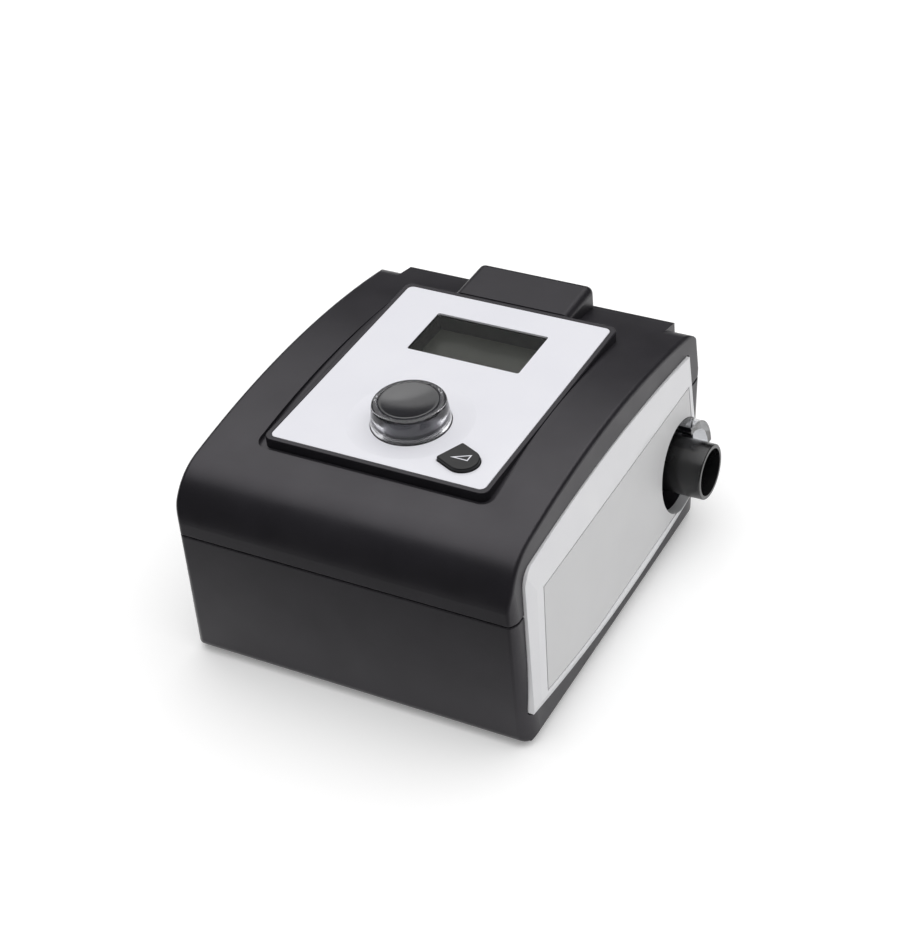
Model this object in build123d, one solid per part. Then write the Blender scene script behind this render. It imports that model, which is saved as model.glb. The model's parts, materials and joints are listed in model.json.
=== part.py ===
"""A bedside positive-airway-pressure machine, as the separate pieces it comes apart into.

Millimetres, X to the machine's right, Y to its rear, Z up, standing on its feet at Z = 0.
Pieces are modelled about the middle of the casing and shifted at export, so that the origin
ends up under the middle of the whole machine, outlet included.
"""
from build123d import *
from math import asin, atan2, cos, degrees, pi, radians, sin, sqrt
import os

# ---- casing ----
DEPTH = 162.0              # front face to rear face
BASE_HALF = 71.5           # half the width at the base
SIDE_DRAFT = 4.5           # how far each side has leaned in at SIDE_TOP
SIDE_TOP = 90.0
CREASE_INSET = 5.1         # base corner to the crease at each end of the front face
BASE_FRONT_CORNER = 8.0    # how far back the front corner reaches, at the base
TOP_FRONT_CORNER = 2.6     # and at SIDE_TOP
BASE_REAR_RADIUS = 26.0    # rear corner radius at the base
REAR_KNEE = 60.0           # height where the rear corners stop opening out
KNEE_REAR_RADIUS = 3.5     # their radius there
TOP_REAR_RADIUS = 3.0      # and at SIDE_TOP
FOOT_HEIGHT = 2.0
BASE_EDGE_RADIUS = 4.0
PARTING_HEIGHT = 56.7
PARTING_GAP = 0.6
PARTING_FILLET = 0.4       # eased edges on both sides of the parting gap
EDGE_BAND = 1.0            # an edge of a half this near its outline counts as its rim
FLATNESS = 0.01
BROW_RADIUS = 20.0
BROW_START = 62.4          # height at which the front face starts to turn over
BROW_END = 9.0             # slope of the top where the brow meets it, degrees
CREST_HEIGHT = 86.9
TAIL_HEIGHT = 77.0         # height of the top at the rear face
TAIL_RADIUS = 14.0         # rear end of each rail
EAVE_LENGTH = 18.0         # how far forward the crisp rear lip is built
TOP_EDGE_RADIUS = 1.8
WALL = 2.6
LIP_HEIGHT = 3.0           # tongue that locates the top cover on the bottom case
LIP_CLEARANCE = 0.15
RAIL_WIDTH = 13.7          # side to the end of the crisp rear lip

# ---- deck: the flat raised plinth that carries the overlay ----
DECK_HEIGHT = 86.5
DECK_SETBACK = 31.3        # front face to the overlay plate
DECK_LENGTH = 105.5
DECK_HALF = 43.4
DECK_CORNER = 2.4
BEZEL = 2.0                # dark rim left showing round the overlay
PLINTH_EDGE = 0.5
OVERLAY_THICKNESS = 1.1
OVERLAY_EDGE = 0.25
OVERLAY_GAP = 0.15
DECK_SLAB = 3.0            # solid thickness under the overlay
MOAT_WIDTH = 2.4
MOAT_DEPTH = 1.6           # at the front; the floor rises to nothing at the rear of the plate
HUMP_HALF = 24.7           # raised middle of the rear edge
HUMP_HEIGHT = 86.9
HUMP_RADIUS = 3.0

# ---- display ----
WINDOW_HALF = 23.4
WINDOW_SETBACK = 66.8      # front of the plate to the window
WINDOW_LENGTH = 25.4
WINDOW_CORNER = 0.8
DISPLAY_DEPTH = 7.2        # deck down to the face of the display
DISPLAY_THICKNESS = 3.2
DISPLAY_MARGIN = 2.6       # display frame outside the window
SHROUD_WALL = 1.2
SHROUD_LEDGE = 0.6         # how far the shroud reaches in under the window
WINDOW_FIT = 0.1

# ---- control wheel ----
WHEEL_SETBACK = 27.2       # front of the plate to the wheel's axis
WHEEL_TOP_RADIUS = 13.8
WHEEL_BASE_RADIUS = 14.8
WHEEL_RISE = 8.4           # deck to the top rim
WHEEL_SINK = 1.6           # deck down to the underside of the wheel
WHEEL_CLEARANCE = 0.3
WHEEL_TRAVEL = 0.6
WHEEL_FLOOR_GAP = 0.3
CORE_RADIUS = 10.2
CORE_DOME = 1.6
CORE_SINK = 0.6            # top of the core's dome below a full dome
WHEEL_EDGE = 1.2           # rounding of the ring's top edge
WHEEL_FOOT_EDGE = 1.2      # and of its lower edge
DISH_RADIUS = 23.6
DISH_FLOOR_RADIUS = 15.6
DISH_DEPTH = 0.8
DISH_RUNOUT = (1.6, 0.12)  # how far past its rim the dish's cutter runs, outwards and upwards
SHAFT_RADIUS = 3.0
SHAFT_FOOT = 4.0           # upper board to the lower end of the shaft
SOCKET_ROOF = 4.0          # top of the wheel down to the upper end of the shaft
SHAFT_ROOF = 2.0           # solid end of the shaft above the spindle
SPINDLE_FOOT = 1.4
BUSH_RADIUS = 4.6
BUSH_CLEARANCE = 0.1
RUNNING_FIT = 0.05
ENCODER_SIDE = 12.5
ENCODER_FLOOR = 0.6
UNDER_GAP = 0.2            # between parts on the board and the underside of the deck

# ---- ramp button ----
RAMP_PLACE = (29.6, 11.5)  # its round end's centre, from the middle and front of the plate
RAMP_END_RADIUS = 6.0
RAMP_REACH_REAR = (-4.6, 8.6)    # its two corners, from that centre
RAMP_REACH_LEFT = (-9.7, -2.2)
RAMP_RISE = 1.7
RAMP_TRAVEL = 1.0
RAMP_CLEARANCE = 0.35
RAMP_FLANGE = 1.2
RAMP_FLANGE_THICKNESS = 1.2
RAMP_CORNER = 0.8
RAMP_EDGE = 0.6
STEM_RADIUS = 1.6
STEM_GAP = 3.6             # upper board to the lower end of the stem
PLUNGER_RADIUS = 1.0
PLUNGER_FOOT = 1.8
SWITCH_HALF = 3.0
SWITCH_FLOOR = 0.6
SWITCH_GAP = 0.1

# ---- side cover, on the machine's right ----
COVER_PROUD = 2.3          # label face outside the casing side
COVER_SINK = 2.0           # back of the cover below the casing side
COVER_GAP = 0.5
COVER_BACK_GAP = 0.3
COVER_FRONT_LOW = (3.1, 15.0)    # from the front face, height
COVER_FRONT_HIGH = (9.9, 72.8)
COVER_TOP_MIDDLE = (83.0, 76.1)  # from the rear face, height
COVER_REAR_HIGH = (10.4, 71.2)
COVER_REAR_BEND = (10.4, 46.0)
COVER_REAR_MIDDLE = (12.8, 26.0)
COVER_REAR_LOW = (24.5, 10.4)
COVER_BASE_MIDDLE = (73.0, 8.4)
COVER_CORNER = 1.8
COVER_FRONT_CORNER = 7.0         # its upper front corner
COVER_TAIL_CORNER = 6.0          # its lower rear corner
LABEL_FRONT_LOW = (12.6, 16.0)   # as for the cover
LABEL_FRONT_HIGH = (19.5, 61.0)
LABEL_REAR_INSET = 17.5
LABEL_EDGE = 6.4                 # least width of the cover left round the label face
LABEL_GROOVE = 0.7
LABEL_THICKNESS = 0.8
BAND_GAP = 2.2             # label face to the crease where each sloping band starts
COVER_RIM_PROUD = 0.4      # edge of the cover outside the casing side
PEG_RADIUS = 2.5
PEG_LENGTH = 5.0
PEG_CLEARANCE = 0.2
PEGS_FRONT = ((19.0, 20.0), (23.0, 62.0))    # distance from the front face, height
PEGS_REAR = ((61.0, 68.0), (71.0, 18.0))     # distance from the rear face, height

# ---- outlet ----
PORT_INSET = 28.4          # rear face to the outlet's axis
PORT_Z = 32.6
PORT_RADIUS = 11.0         # 22 mm conical hose fitting
PORT_BORE = 9.4
PORT_EDGE = 0.5
PORT_REACH = 12.3          # casing side, at its base, to the outlet's mouth
PORT_TAIL = 11.0           # well floor to the outlet's inner end
WELL_RADIUS = 19.0
WELL_DEPTH = 9.5           # casing side, at its base, to the well's floor
WELL_WALL = 2.2
COLLAR_RADIUS = 11.25      # thicker foot of the tube
COLLAR_HEIGHT = 2.0
COLLAR_CLEARANCE = 0.3
FLANGE_RADIUS = 15.0
FLANGE_THICKNESS = 2.6
SEAL_THICKNESS = 1.0

# ---- release tab, clear, in the well above and behind the outlet ----
TAB_INNER = 15.4
TAB_OUTER = 18.65
TAB_START = 2.0            # degrees from the rear, about the outlet
TAB_SWEEP = 88.0
TAB_LENGTH = 12.0
TAB_TRAVEL = 2.0
TAB_LEG_INNER = 17.5
TAB_LEG_START = 35.0
TAB_LEG_SWEEP = 22.0
TAB_HOOK = 1.6
TAB_HOOK_GAP = 0.1
TAB_STOP_GAP = 0.3         # what is left under the tab when it is pushed right in

# ---- blower ----
BLOWER_INSET = 57.5        # left side, at its base, to the blower's axis
BLOWER_RADIUS = 36.0
VOLUTE_WALL = 2.0
VOLUTE_LOW = 21.0
VOLUTE_HIGH = 44.2
DUCT_RADIUS = 11.0
DUCT_BORE = 9.4
DUCT_GAP = 1.0             # end of the duct to the outlet tube
SLEEVE_OVERLAP = 4.6
SLEEVE_WALL = 1.8
EYE_RADIUS = 12.0
IMPELLER_RADIUS = 29.0
IMPELLER_HEIGHT = 9.0
IMPELLER_PLATE = 1.6
IMPELLER_HUB = 4.8
IMPELLER_FLOOR_GAP = 3.6
IMPELLER_BLADES = 11
BLADE_THICKNESS = 1.0
BLADE_INNER = 11.6
BLADE_RIM_GAP = 0.4
BLADE_SWEEP = (0.28, 0.8)  # turn back at the blade's middle and tip, radians
MOTOR_RADIUS = 19.0
MOTOR_LOW = 6.6
MOTOR_WALL = 1.6
ROTOR_SHAFT_RADIUS = 2.0
BEARING_RADIUS = 5.0
BEARING_GAP = 0.6          # magnet and stator clear of the bearings
SHAFT_GAP = 0.3
SHAFT_HOLE_FIT = 0.8
STATOR_GAP = 0.5
BEARING_HEIGHT = 3.0
MAGNET_RADIUS = 8.2
LUG_ANGLES = (170.0, 260.0, 350.0)
LUG_REACH = 43.0
LUG_RADIUS = 5.0
LUG_THICKNESS = 3.0
MOUNT_HEIGHT = 6.0
MOUNT_RADIUS = 4.2
MOUNT_SEAT = 0.4           # post under a rubber mount, wider than the mount

# ---- intake ----
MUFFLER_DEPTH = 65.4
MUFFLER_HEADROOM = 1.3     # lid to the heads of the upper board's screws
MUFFLER_WALL = 1.8
FOAM_THICKNESS = 6.0

# ---- rear panel ----
PANEL_CORNER_GAP = 1.5     # edge of the panel to where the rear corner starts
PANEL_LOW = 10.0
PANEL_HIGH = 73.0
PANEL_THICKNESS = 2.6
PANEL_GAP = 0.2
PANEL_LEDGE = 1.8
PANEL_CORNER = 1.0
FILTER_OFFSET = -6.0       # blower's axis to the middle of the filter
FILTER_LEVEL = 57.6
FILTER_WIDTH = 38.0
FILTER_HEIGHT = 22.0
FILTER_DEPTH = 17.0
FILTER_WALL = 1.6
FINE_FILTER_THICKNESS = 3.0
FOAM_FILTER_THICKNESS = 8.0
FILTER_SQUEEZE = 0.2       # filters stand this far inside the box's walls
FILTER_LEDGE = 3.0
CAP_THICKNESS = 2.4
CAP_GAP = 0.3
CAP_SLOTS = 6
CAP_SLOT_HEIGHT = 1.8
CAP_BORDER = 4.0           # ends of the slots to the cap's edges
CAP_RIB = 1.0              # half the rib between the two rows of slots
CAP_FOOT = 2.4             # hinge to the first slot
CAP_HEAD = 3.0
HINGE_RADIUS = 0.8
HINGE_REACH = 1.4          # pin ends beyond the opening
HINGE_FIT = 0.08
BLANK_LEVEL = 25.0
BLANK_WIDTH = 38.0
BLANK_HEIGHT = 20.0
BLANK_FIT = 0.15
BLANK_SINK = 0.2
BLANK_FLANGE = 1.6
CARD_INSET = 15.6          # edge of the panel to the middle of the card
CARD_LEVEL = 60.0
CARD_WIDTH = 24.0
CARD_LENGTH = 32.0
CARD_THICKNESS = 2.1
CARD_STANDS_OUT = -0.3
CARD_CLEARANCE = 0.25
CARD_NOTCH = 4.0
SOCKET_WALL = 1.4
SOCKET_END_GAP = 2.0       # inner end of the card to the socket's outer end face
SOCKET_END = 1.6
SOCKET_GAP = 1.0           # socket to the intake box
JACK_INSET = 16.0
JACK_LEVEL = 26.0
JACK_RADIUS = 5.6
JACK_BORE = 3.9
JACK_PIN_RADIUS = 0.9
JACK_LENGTH = 13.0
JACK_BLOCK = 6.6           # half the block behind the panel
JACK_PIN_SINK = 2.5

# ---- boards ----
BOARD_THICKNESS = 1.6
UI_BOARD_HALF = 42.0
UI_BOARD_LENGTH = 96.0
UI_BOARD_SETBACK = 2.7     # front of the plate to the upper board
MAIN_BOARD_SIDE_GAP = 19.5
MAIN_BOARD_SETBACK = 7.0   # front face to the main board
MAIN_BOARD_REAR_GAP = 6.6  # main board to the blower's nearest lug
MAIN_BOARD_HEIGHT = 15.0
MAIN_BOSS_RADIUS = 3.0
MAIN_SCREW_INSET = 4.0     # edges of the main board to its screws
UI_BOSS_RADIUS = 2.6
UI_SCREW_INSET = 3.2
BOARD_HOLE_FIT = 0.3
SENSOR_INSET = (12.0, 13.0)      # from the main board's right and rear edges
SENSOR_SIDE = 12.0
SENSOR_HEIGHT = 8.0
CAPACITOR_RADIUS = 5.0
CAPACITOR_HEIGHT = 15.0
CAPACITOR_INSET = 12.0     # left and front edges of the board to the first one's middle
CAPACITOR_GAP = 2.0
CHIP_SIDE = 14.0
CHIP_THICKNESS = 1.6
CHIP_INSET = 5.0
CONNECTORS = ((-2.0, 16.0), (18.0, 9.0), (-30.0, 12.0))      # middle and width
CONNECTOR_DEPTH = 7.0
CONNECTOR_HEIGHT = 9.0
CONNECTOR_INSET = 2.0
BARB_RADIUS = 1.4
BARB_BORE = 0.8
BARB_LENGTH = 5.0
TUBE_RADIUS = 2.4
TUBE_LEVEL = 54.0
TUBE_BEND = 5.0
TUBE_GAP = 0.2             # ends of the tube to the faces that the barbs stand on

# ---- fasteners and feet ----
BOSS_INSET = (13.5, 13.0)        # front bosses, from the side and the front face
BOSS_INSET_REAR_LEFT = (21.5, 15.0)
BOSS_INSET_REAR_RIGHT = (24.5, 7.0)
BOSS_RADIUS = 4.0
SCREW_RADIUS = 1.5
SCREW_HEAD_RADIUS = 3.0
SCREW_HEAD_HEIGHT = 2.2
SCREW_HEAD_SINK = 0.6      # underside of the casing up to the heads
SCREW_TOP = 62.0           # height of the screws' upper ends
SCREW_FIT = 0.2
SCREW_HEAD_FIT = 0.3
BOARD_SCREW_RADIUS = 1.2
BOARD_SCREW_HEAD = 2.2
BOARD_SCREW_HEAD_HEIGHT = 1.4
BOARD_SCREW_DEPTH = 4.4
FOOT_INSET_FRONT = (17.5, 29.0)
FOOT_INSET_REAR = (25.5, 25.0)
FOOT_RADIUS = 6.0
FOOT_RECESS = 1.0
FOOT_FIT = 0.1
FOOT_EDGE = 0.5

FRONT = -DEPTH / 2
REAR = DEPTH / 2
TOP_HALF = BASE_HALF - SIDE_DRAFT
FRONT_HALF = BASE_HALF - CREASE_INSET
EAVE_HALF = BASE_HALF - RAIL_WIDTH
DECK_FRONT = FRONT + DECK_SETBACK
DECK_REAR = DECK_FRONT + DECK_LENGTH
DECK_RIM = DECK_HALF + BEZEL
DECK_FLOOR = DECK_HEIGHT - OVERLAY_THICKNESS
SLAB_UNDERSIDE = DECK_FLOOR - DECK_SLAB
WINDOW_FRONT = DECK_FRONT + WINDOW_SETBACK
DISPLAY_FACE = DECK_HEIGHT - DISPLAY_DEPTH
UI_BOARD_TOP = DISPLAY_FACE - DISPLAY_THICKNESS
UI_BOARD_FRONT = DECK_FRONT + UI_BOARD_SETBACK
UI_BOARD_REAR = UI_BOARD_FRONT + UI_BOARD_LENGTH
WHEEL_Y = DECK_FRONT + WHEEL_SETBACK
WHEEL_BASE = DECK_HEIGHT - WHEEL_SINK
RAMP_CENTRE = (RAMP_PLACE[0], DECK_FRONT + RAMP_PLACE[1])
PORT_Y = REAR - PORT_INSET
PORT_MOUTH = BASE_HALF + PORT_REACH
WELL_FLOOR = BASE_HALF - WELL_DEPTH
PORT_INNER_END = WELL_FLOOR - PORT_TAIL
DUCT_END = PORT_INNER_END - DUCT_GAP
PEG_PLACES = [(FRONT + y, z) for y, z in PEGS_FRONT] + [(REAR - y, z) for y, z in PEGS_REAR]
BLOWER_X = -BASE_HALF + BLOWER_INSET
BLOWER_Y = PORT_Y - BLOWER_RADIUS + DUCT_RADIUS
IMPELLER_LOW = VOLUTE_LOW + VOLUTE_WALL + IMPELLER_FLOOR_GAP
PANEL_HALF = BASE_HALF - BASE_REAR_RADIUS - PANEL_CORNER_GAP
FILTER_CENTRE = (BLOWER_X + FILTER_OFFSET, FILTER_LEVEL)
BLANK_CENTRE = (FILTER_CENTRE[0], BLANK_LEVEL)
CARD_CENTRE = (PANEL_HALF - CARD_INSET, CARD_LEVEL)
JACK_CENTRE = (PANEL_HALF - JACK_INSET, JACK_LEVEL)
MUFFLER_LEFT = BLOWER_X - BLOWER_RADIUS
MUFFLER_RIGHT = CARD_CENTRE[0] - CARD_WIDTH / 2 - SOCKET_WALL - SOCKET_GAP
MUFFLER_REAR = REAR - PANEL_THICKNESS - FILTER_DEPTH
MUFFLER_FRONT = MUFFLER_REAR - MUFFLER_DEPTH
UI_SCREW_LOW = UI_BOARD_TOP - BOARD_THICKNESS - BOARD_SCREW_HEAD_HEIGHT
MUFFLER_HIGH = UI_SCREW_LOW - MUFFLER_HEADROOM - MUFFLER_WALL
MAIN_BOARD_TOP = MAIN_BOARD_HEIGHT + BOARD_THICKNESS
MAIN_BOARD_HALF = BASE_HALF - MAIN_BOARD_SIDE_GAP
MAIN_BOARD_FRONT = FRONT + MAIN_BOARD_SETBACK
MAIN_BOARD_REAR = BLOWER_Y - LUG_REACH - LUG_RADIUS - MAIN_BOARD_REAR_GAP
SENSOR_PLACE = (MAIN_BOARD_HALF - SENSOR_INSET[0], MAIN_BOARD_REAR - SENSOR_INSET[1])
BOSS_PLACES = [(side * (BASE_HALF - BOSS_INSET[0]), FRONT + BOSS_INSET[1]) for side in (-1, 1)]
BOSS_PLACES.append((-BASE_HALF + BOSS_INSET_REAR_LEFT[0], REAR - BOSS_INSET_REAR_LEFT[1]))
BOSS_PLACES.append((BASE_HALF - BOSS_INSET_REAR_RIGHT[0], REAR - BOSS_INSET_REAR_RIGHT[1]))
FOOT_PLACES = {}
for side, sign in (("left", -1), ("right", 1)):
    FOOT_PLACES["front_" + side] = (sign * (BASE_HALF - FOOT_INSET_FRONT[0]), FRONT + FOOT_INSET_FRONT[1])
    FOOT_PLACES["rear_" + side] = (sign * (BASE_HALF - FOOT_INSET_REAR[0]), REAR - FOOT_INSET_REAR[1])
BIG = 400.0


# ---- small helpers ----
def box(x, y, z):
    """A block given by its lowest and highest value along each axis."""
    size = (x[1] - x[0], y[1] - y[0], z[1] - z[0])
    return Pos((x[0] + x[1]) / 2, (y[0] + y[1]) / 2, (z[0] + z[1]) / 2) * Box(*size)


def post(x, y, low, high, radius):
    """An upright cylinder."""
    return Pos(x, y, (low + high) / 2) * Cylinder(radius, high - low)


def bar_x(start, end, y, z, radius):
    """A cylinder lying along X."""
    return Pos((start + end) / 2, y, z) * Rot(0, 90, 0) * Cylinder(radius, end - start)


def bar_y(start, end, x, z, radius):
    """A cylinder lying along Y."""
    return Pos(x, (start + end) / 2, z) * Rot(90, 0, 0) * Cylinder(radius, end - start)


def slab(half, front, rear, low, high, corner):
    """A flat piece with rounded corners, centred on X = 0."""
    outline = Pos(0, (front + rear) / 2, low) * RectangleRounded(2 * half, rear - front, corner)
    return extrude(outline, high - low)


def side_x(z):
    """Where the drafted side stands at a height."""
    return BASE_HALF + (TOP_HALF - BASE_HALF) * z / SIDE_TOP


# ---- the casing's form ----
def plan_outline(level, half, front_half, front_corner, rear_radius, inset):
    """Plan view of the casing at one level, moved inwards by inset."""
    front, rear = FRONT + inset, REAR - inset
    side, crease = half - inset, front_half - inset
    drop = side - crease
    bend = (front_corner ** 2 + drop ** 2) / (2 * drop)
    turn = asin(front_corner / bend) / 2
    middle = (side - bend + bend * cos(turn), front + front_corner - bend * sin(turn))
    radius = max(rear_radius - inset, 1.0)
    cut = radius * (1 - sqrt(0.5))
    outline = [
        Line((-crease, front), (crease, front)),
        ThreePointArc((crease, front), middle, (side, front + front_corner)),
        Line((side, front + front_corner), (side, rear - radius)),
        ThreePointArc((side, rear - radius), (side - cut, rear - cut), (side - radius, rear)),
        Line((side - radius, rear), (-side + radius, rear)),
        ThreePointArc((-side + radius, rear), (-side + cut, rear - cut), (-side, rear - radius)),
        Line((-side, rear - radius), (-side, front + front_corner)),
        ThreePointArc((-side, front + front_corner), (-middle[0], middle[1]), (-crease, front)),
    ]
    return Pos(0, 0, level) * make_face(outline)


def walls(inset=0.0):
    """The four walls below and above the knee: drafted sides and rear corners that tuck in below."""
    share = REAR_KNEE / SIDE_TOP
    knee_corner = BASE_FRONT_CORNER + (TOP_FRONT_CORNER - BASE_FRONT_CORNER) * share
    base = plan_outline(0, BASE_HALF, FRONT_HALF, BASE_FRONT_CORNER, BASE_REAR_RADIUS, inset)
    knee = plan_outline(REAR_KNEE, side_x(REAR_KNEE), FRONT_HALF, knee_corner, KNEE_REAR_RADIUS, inset)
    top = plan_outline(SIDE_TOP, TOP_HALF, FRONT_HALF, TOP_FRONT_CORNER, TOP_REAR_RADIUS, inset)
    return loft([base, knee], ruled=True), loft([knee, top], ruled=True)


def column(inset=0.0):
    """The four walls in one piece, without top or bottom."""
    lower, upper = walls(inset)
    return lower + upper


def side_view(inset=0.0, tail_radius=TAIL_RADIUS):
    """Everything inside the machine's outline as seen from its side."""
    front, rear, base = FRONT + inset, REAR - inset, FOOT_HEIGHT + inset
    brow = BROW_RADIUS - inset
    slope, half_turn = radians(BROW_END), radians(45 + BROW_END / 2)
    brow_y = FRONT + BROW_RADIUS
    brow_end = (brow_y - brow * sin(slope), BROW_START + brow * cos(slope))
    brow_middle = (brow_y - brow * sin(half_turn), BROW_START + brow * cos(half_turn))
    tail = (rear, TAIL_HEIGHT - inset)
    outline = make_face([
        Line((front, base), (front, BROW_START)),
        ThreePointArc((front, BROW_START), brow_middle, brow_end),
        ThreePointArc(brow_end, (0, CREST_HEIGHT - inset), tail),
        Line(tail, (rear, base)),
        Line((rear, base), (front, base)),
    ])
    corners = outline.vertices().group_by(Axis.Y)[0]
    outline = fillet(corners, max(BASE_EDGE_RADIUS - inset, 0.6))
    if tail_radius > inset:
        corner = outline.vertices().sort_by_distance((tail[0], tail[1], 0))[0]
        outline = fillet(corner, tail_radius - inset)
    return extrude(Plane.YZ * outline, BIG, both=True)


def end_view(inset=0.0):
    """Everything above the rounded lower edges of the two sides."""
    half, base = BASE_HALF - inset, FOOT_HEIGHT + inset
    radius = max(BASE_EDGE_RADIUS - inset, 0.6)
    outline = Pos(0, base + BIG / 2) * Rectangle(2 * half, BIG)
    outline = fillet(outline.vertices().group_by(Axis.Y)[0], radius)
    return extrude(Plane.XZ * outline, BIG, both=True)


def casing_form(inset=0.0):
    """The closed form of the casing without its deck, moved inwards by inset."""
    lower, upper = walls(inset)
    lower = lower & end_view(inset) & side_view(inset, 0)
    upper = upper & side_view(inset, 0)
    if inset < WALL / 4:
        creases = [edge for edge in upper.edges()
                   if abs((edge @ 0.5).X) > EAVE_HALF and (edge @ 0.5).Z > BROW_START + BROW_RADIUS / 2
                   and abs((edge @ 1).Y - (edge @ 0).Y) > BROW_RADIUS / 2]
        upper = fillet(creases, TOP_EDGE_RADIUS - inset)
        creases = [edge for edge in lower.edges()
                   if abs(abs((edge @ 0.5).X) - FRONT_HALF) < EDGE_BAND and (edge @ 0.5).Y < FRONT + EDGE_BAND
                   and abs((edge @ 1).Z - (edge @ 0).Z) > REAR_KNEE / 2]
        lower = fillet(creases, TOP_EDGE_RADIUS - inset)
    form = (lower + upper) & side_view(inset)
    eave = box((-EAVE_HALF + inset, EAVE_HALF - inset), (REAR - EAVE_LENGTH, REAR),
               (TAIL_HEIGHT - EAVE_LENGTH, SIDE_TOP))
    return form + (column(inset) & side_view(inset, 0) & eave)


def deck_form():
    """The raised plinth and the hump behind it."""
    front, rear = DECK_FRONT - BEZEL, DECK_REAR + BEZEL
    plinth = slab(DECK_RIM, front, rear, BROW_START, DECK_HEIGHT, DECK_CORNER + BEZEL / 2)
    plinth = fillet(plinth.edges().group_by(Axis.Z)[-1], PLINTH_EDGE)
    hump = box((-HUMP_HALF, HUMP_HALF), (rear - 2 * HUMP_RADIUS, REAR), (BROW_START, HUMP_HEIGHT))
    upper = hump.edges().group_by(Axis.Z)[-1].sort_by(Axis.Y)[1:]
    uprights = [edge for edge in hump.edges().filter_by(Axis.Z) if edge.center().Y > REAR - 1]
    return plinth, fillet(upper + uprights, HUMP_RADIUS)


def moat(inset=0.0):
    """The shallow trench round the left, front and right of the plinth, as a cutter."""
    front = DECK_FRONT - BEZEL - MOAT_WIDTH
    trench = slab(DECK_RIM + MOAT_WIDTH, front, DECK_REAR, BROW_START, SIDE_TOP, DECK_CORNER + MOAT_WIDTH)
    tilt = degrees(atan2(MOAT_DEPTH, DECK_REAR - front))
    floor = Pos(0, DECK_REAR, DECK_HEIGHT) * Rot(tilt, 0, 0) * Pos(0, -DECK_REAR, -DECK_HEIGHT)
    return trench - floor * side_view(inset, 0)


# ---- the recess and the well in the right side ----
def from_front(place):
    """A (distance from the front face, height) pair as (y, z)."""
    return FRONT + place[0], place[1]


def from_rear(place):
    """A (distance from the rear face, height) pair as (y, z)."""
    return REAR - place[0], place[1]


def cover_outline(grow=0.0):
    """Outline of the side cover as seen from the right, in the YZ plane."""
    low, high = from_front(COVER_FRONT_LOW), from_front(COVER_FRONT_HIGH)
    rear_high, rear_bend = from_rear(COVER_REAR_HIGH), from_rear(COVER_REAR_BEND)
    rear_low = from_rear(COVER_REAR_LOW)
    outline = make_face([
        Line(low, high),
        ThreePointArc(high, from_rear(COVER_TOP_MIDDLE), rear_high),
        Line(rear_high, rear_bend),
        ThreePointArc(rear_bend, from_rear(COVER_REAR_MIDDLE), rear_low),
        ThreePointArc(rear_low, from_rear(COVER_BASE_MIDDLE), low),
    ])
    for place, radius in ((high, COVER_FRONT_CORNER), (low, COVER_CORNER), (rear_high, COVER_CORNER),
                          (rear_low, COVER_TAIL_CORNER)):
        outline = fillet(outline.vertices().sort_by_distance(place)[0], radius)
    return offset(outline, grow) if grow else outline


def cover_prism(grow=0.0):
    """The cover's outline carried across the right half of the machine."""
    return Pos(BASE_HALF / 2, 0, 0) * extrude(Plane.YZ * cover_outline(grow), BASE_HALF)


def port_bar(start, end, radius):
    """A cylinder on the outlet's axis."""
    return bar_x(start, end, PORT_Y, PORT_Z, radius)


def add_recess(shell):
    """Sinks the side cover's recess and the outlet's well into the casing."""
    sink = COVER_SINK + COVER_BACK_GAP
    floor = column(sink)
    inner = column(sink + WALL)
    form = casing_form(0.01)
    shell -= cover_prism(COVER_GAP) - floor
    shell += (cover_prism(COVER_GAP + WALL) & floor & form) - inner
    well = port_bar(WELL_FLOOR - WALL, BASE_HALF, WELL_RADIUS + WELL_WALL) & floor & form
    shell += well
    shell -= port_bar(WELL_FLOOR, BIG / 2, WELL_RADIUS)
    shell -= port_bar(WELL_FLOOR - 2 * WALL, BIG / 2, COLLAR_RADIUS + COLLAR_CLEARANCE)
    shell -= tab_leg(0.15, WELL_FLOOR - 2 * WALL, WELL_FLOOR + 1, TAB_OUTER)
    for y, z in PEG_PLACES:
        shell -= bar_x(side_x(z) - 4 * WALL, side_x(z), y, z, PEG_RADIUS + PEG_CLEARANCE)
    return shell


def panel_opening(grow, rear, front):
    """A block the shape of the rear panel, larger by grow."""
    return box((-PANEL_HALF - grow, PANEL_HALF + grow), (front, rear), (PANEL_LOW - grow, PANEL_HIGH + grow))


def casing_shell():
    """Both halves of the casing before they are parted."""
    plinth, hump = deck_form()
    front, rear = DECK_FRONT - BEZEL, DECK_REAR + BEZEL
    outer = casing_form() - moat() + plinth + hump
    outer -= slab(DECK_RIM, front, rear, DECK_HEIGHT, BIG, DECK_CORNER + BEZEL / 2)
    shell = outer - (casing_form(WALL) - moat(WALL))
    shell += slab(DECK_RIM, front, rear, SLAB_UNDERSIDE, DECK_FLOOR, DECK_CORNER) & outer
    shell -= slab(DECK_RIM - WALL, front + WALL, rear - WALL, UI_SCREW_LOW, SLAB_UNDERSIDE, DECK_CORNER)
    shell -= box((-HUMP_HALF + WALL, HUMP_HALF - WALL), (rear + WALL, REAR - WALL),
                 (BROW_START, HUMP_HEIGHT - WALL))
    shell = add_recess(shell)
    inside = REAR - WALL
    ledge = panel_opening(PANEL_LEDGE, inside, inside - PANEL_LEDGE)
    ledge -= panel_opening(-PANEL_LEDGE, inside + 1, inside - 2 * PANEL_LEDGE)
    shell += ledge & casing_form(WALL / 2)
    return shell - panel_opening(PANEL_GAP, REAR + 1, inside)


def lip(inset, low, high):
    """A band of the casing wall between two heights, its outer face moved in by inset."""
    return (column(inset) - column(WALL)) & box((-BIG, BIG), (-BIG, BIG), (low, high))


def boss_columns(low, high, radius):
    """The four columns that the casing screws run in."""
    return [post(x, y, low, high, radius) for x, y in BOSS_PLACES]


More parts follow.
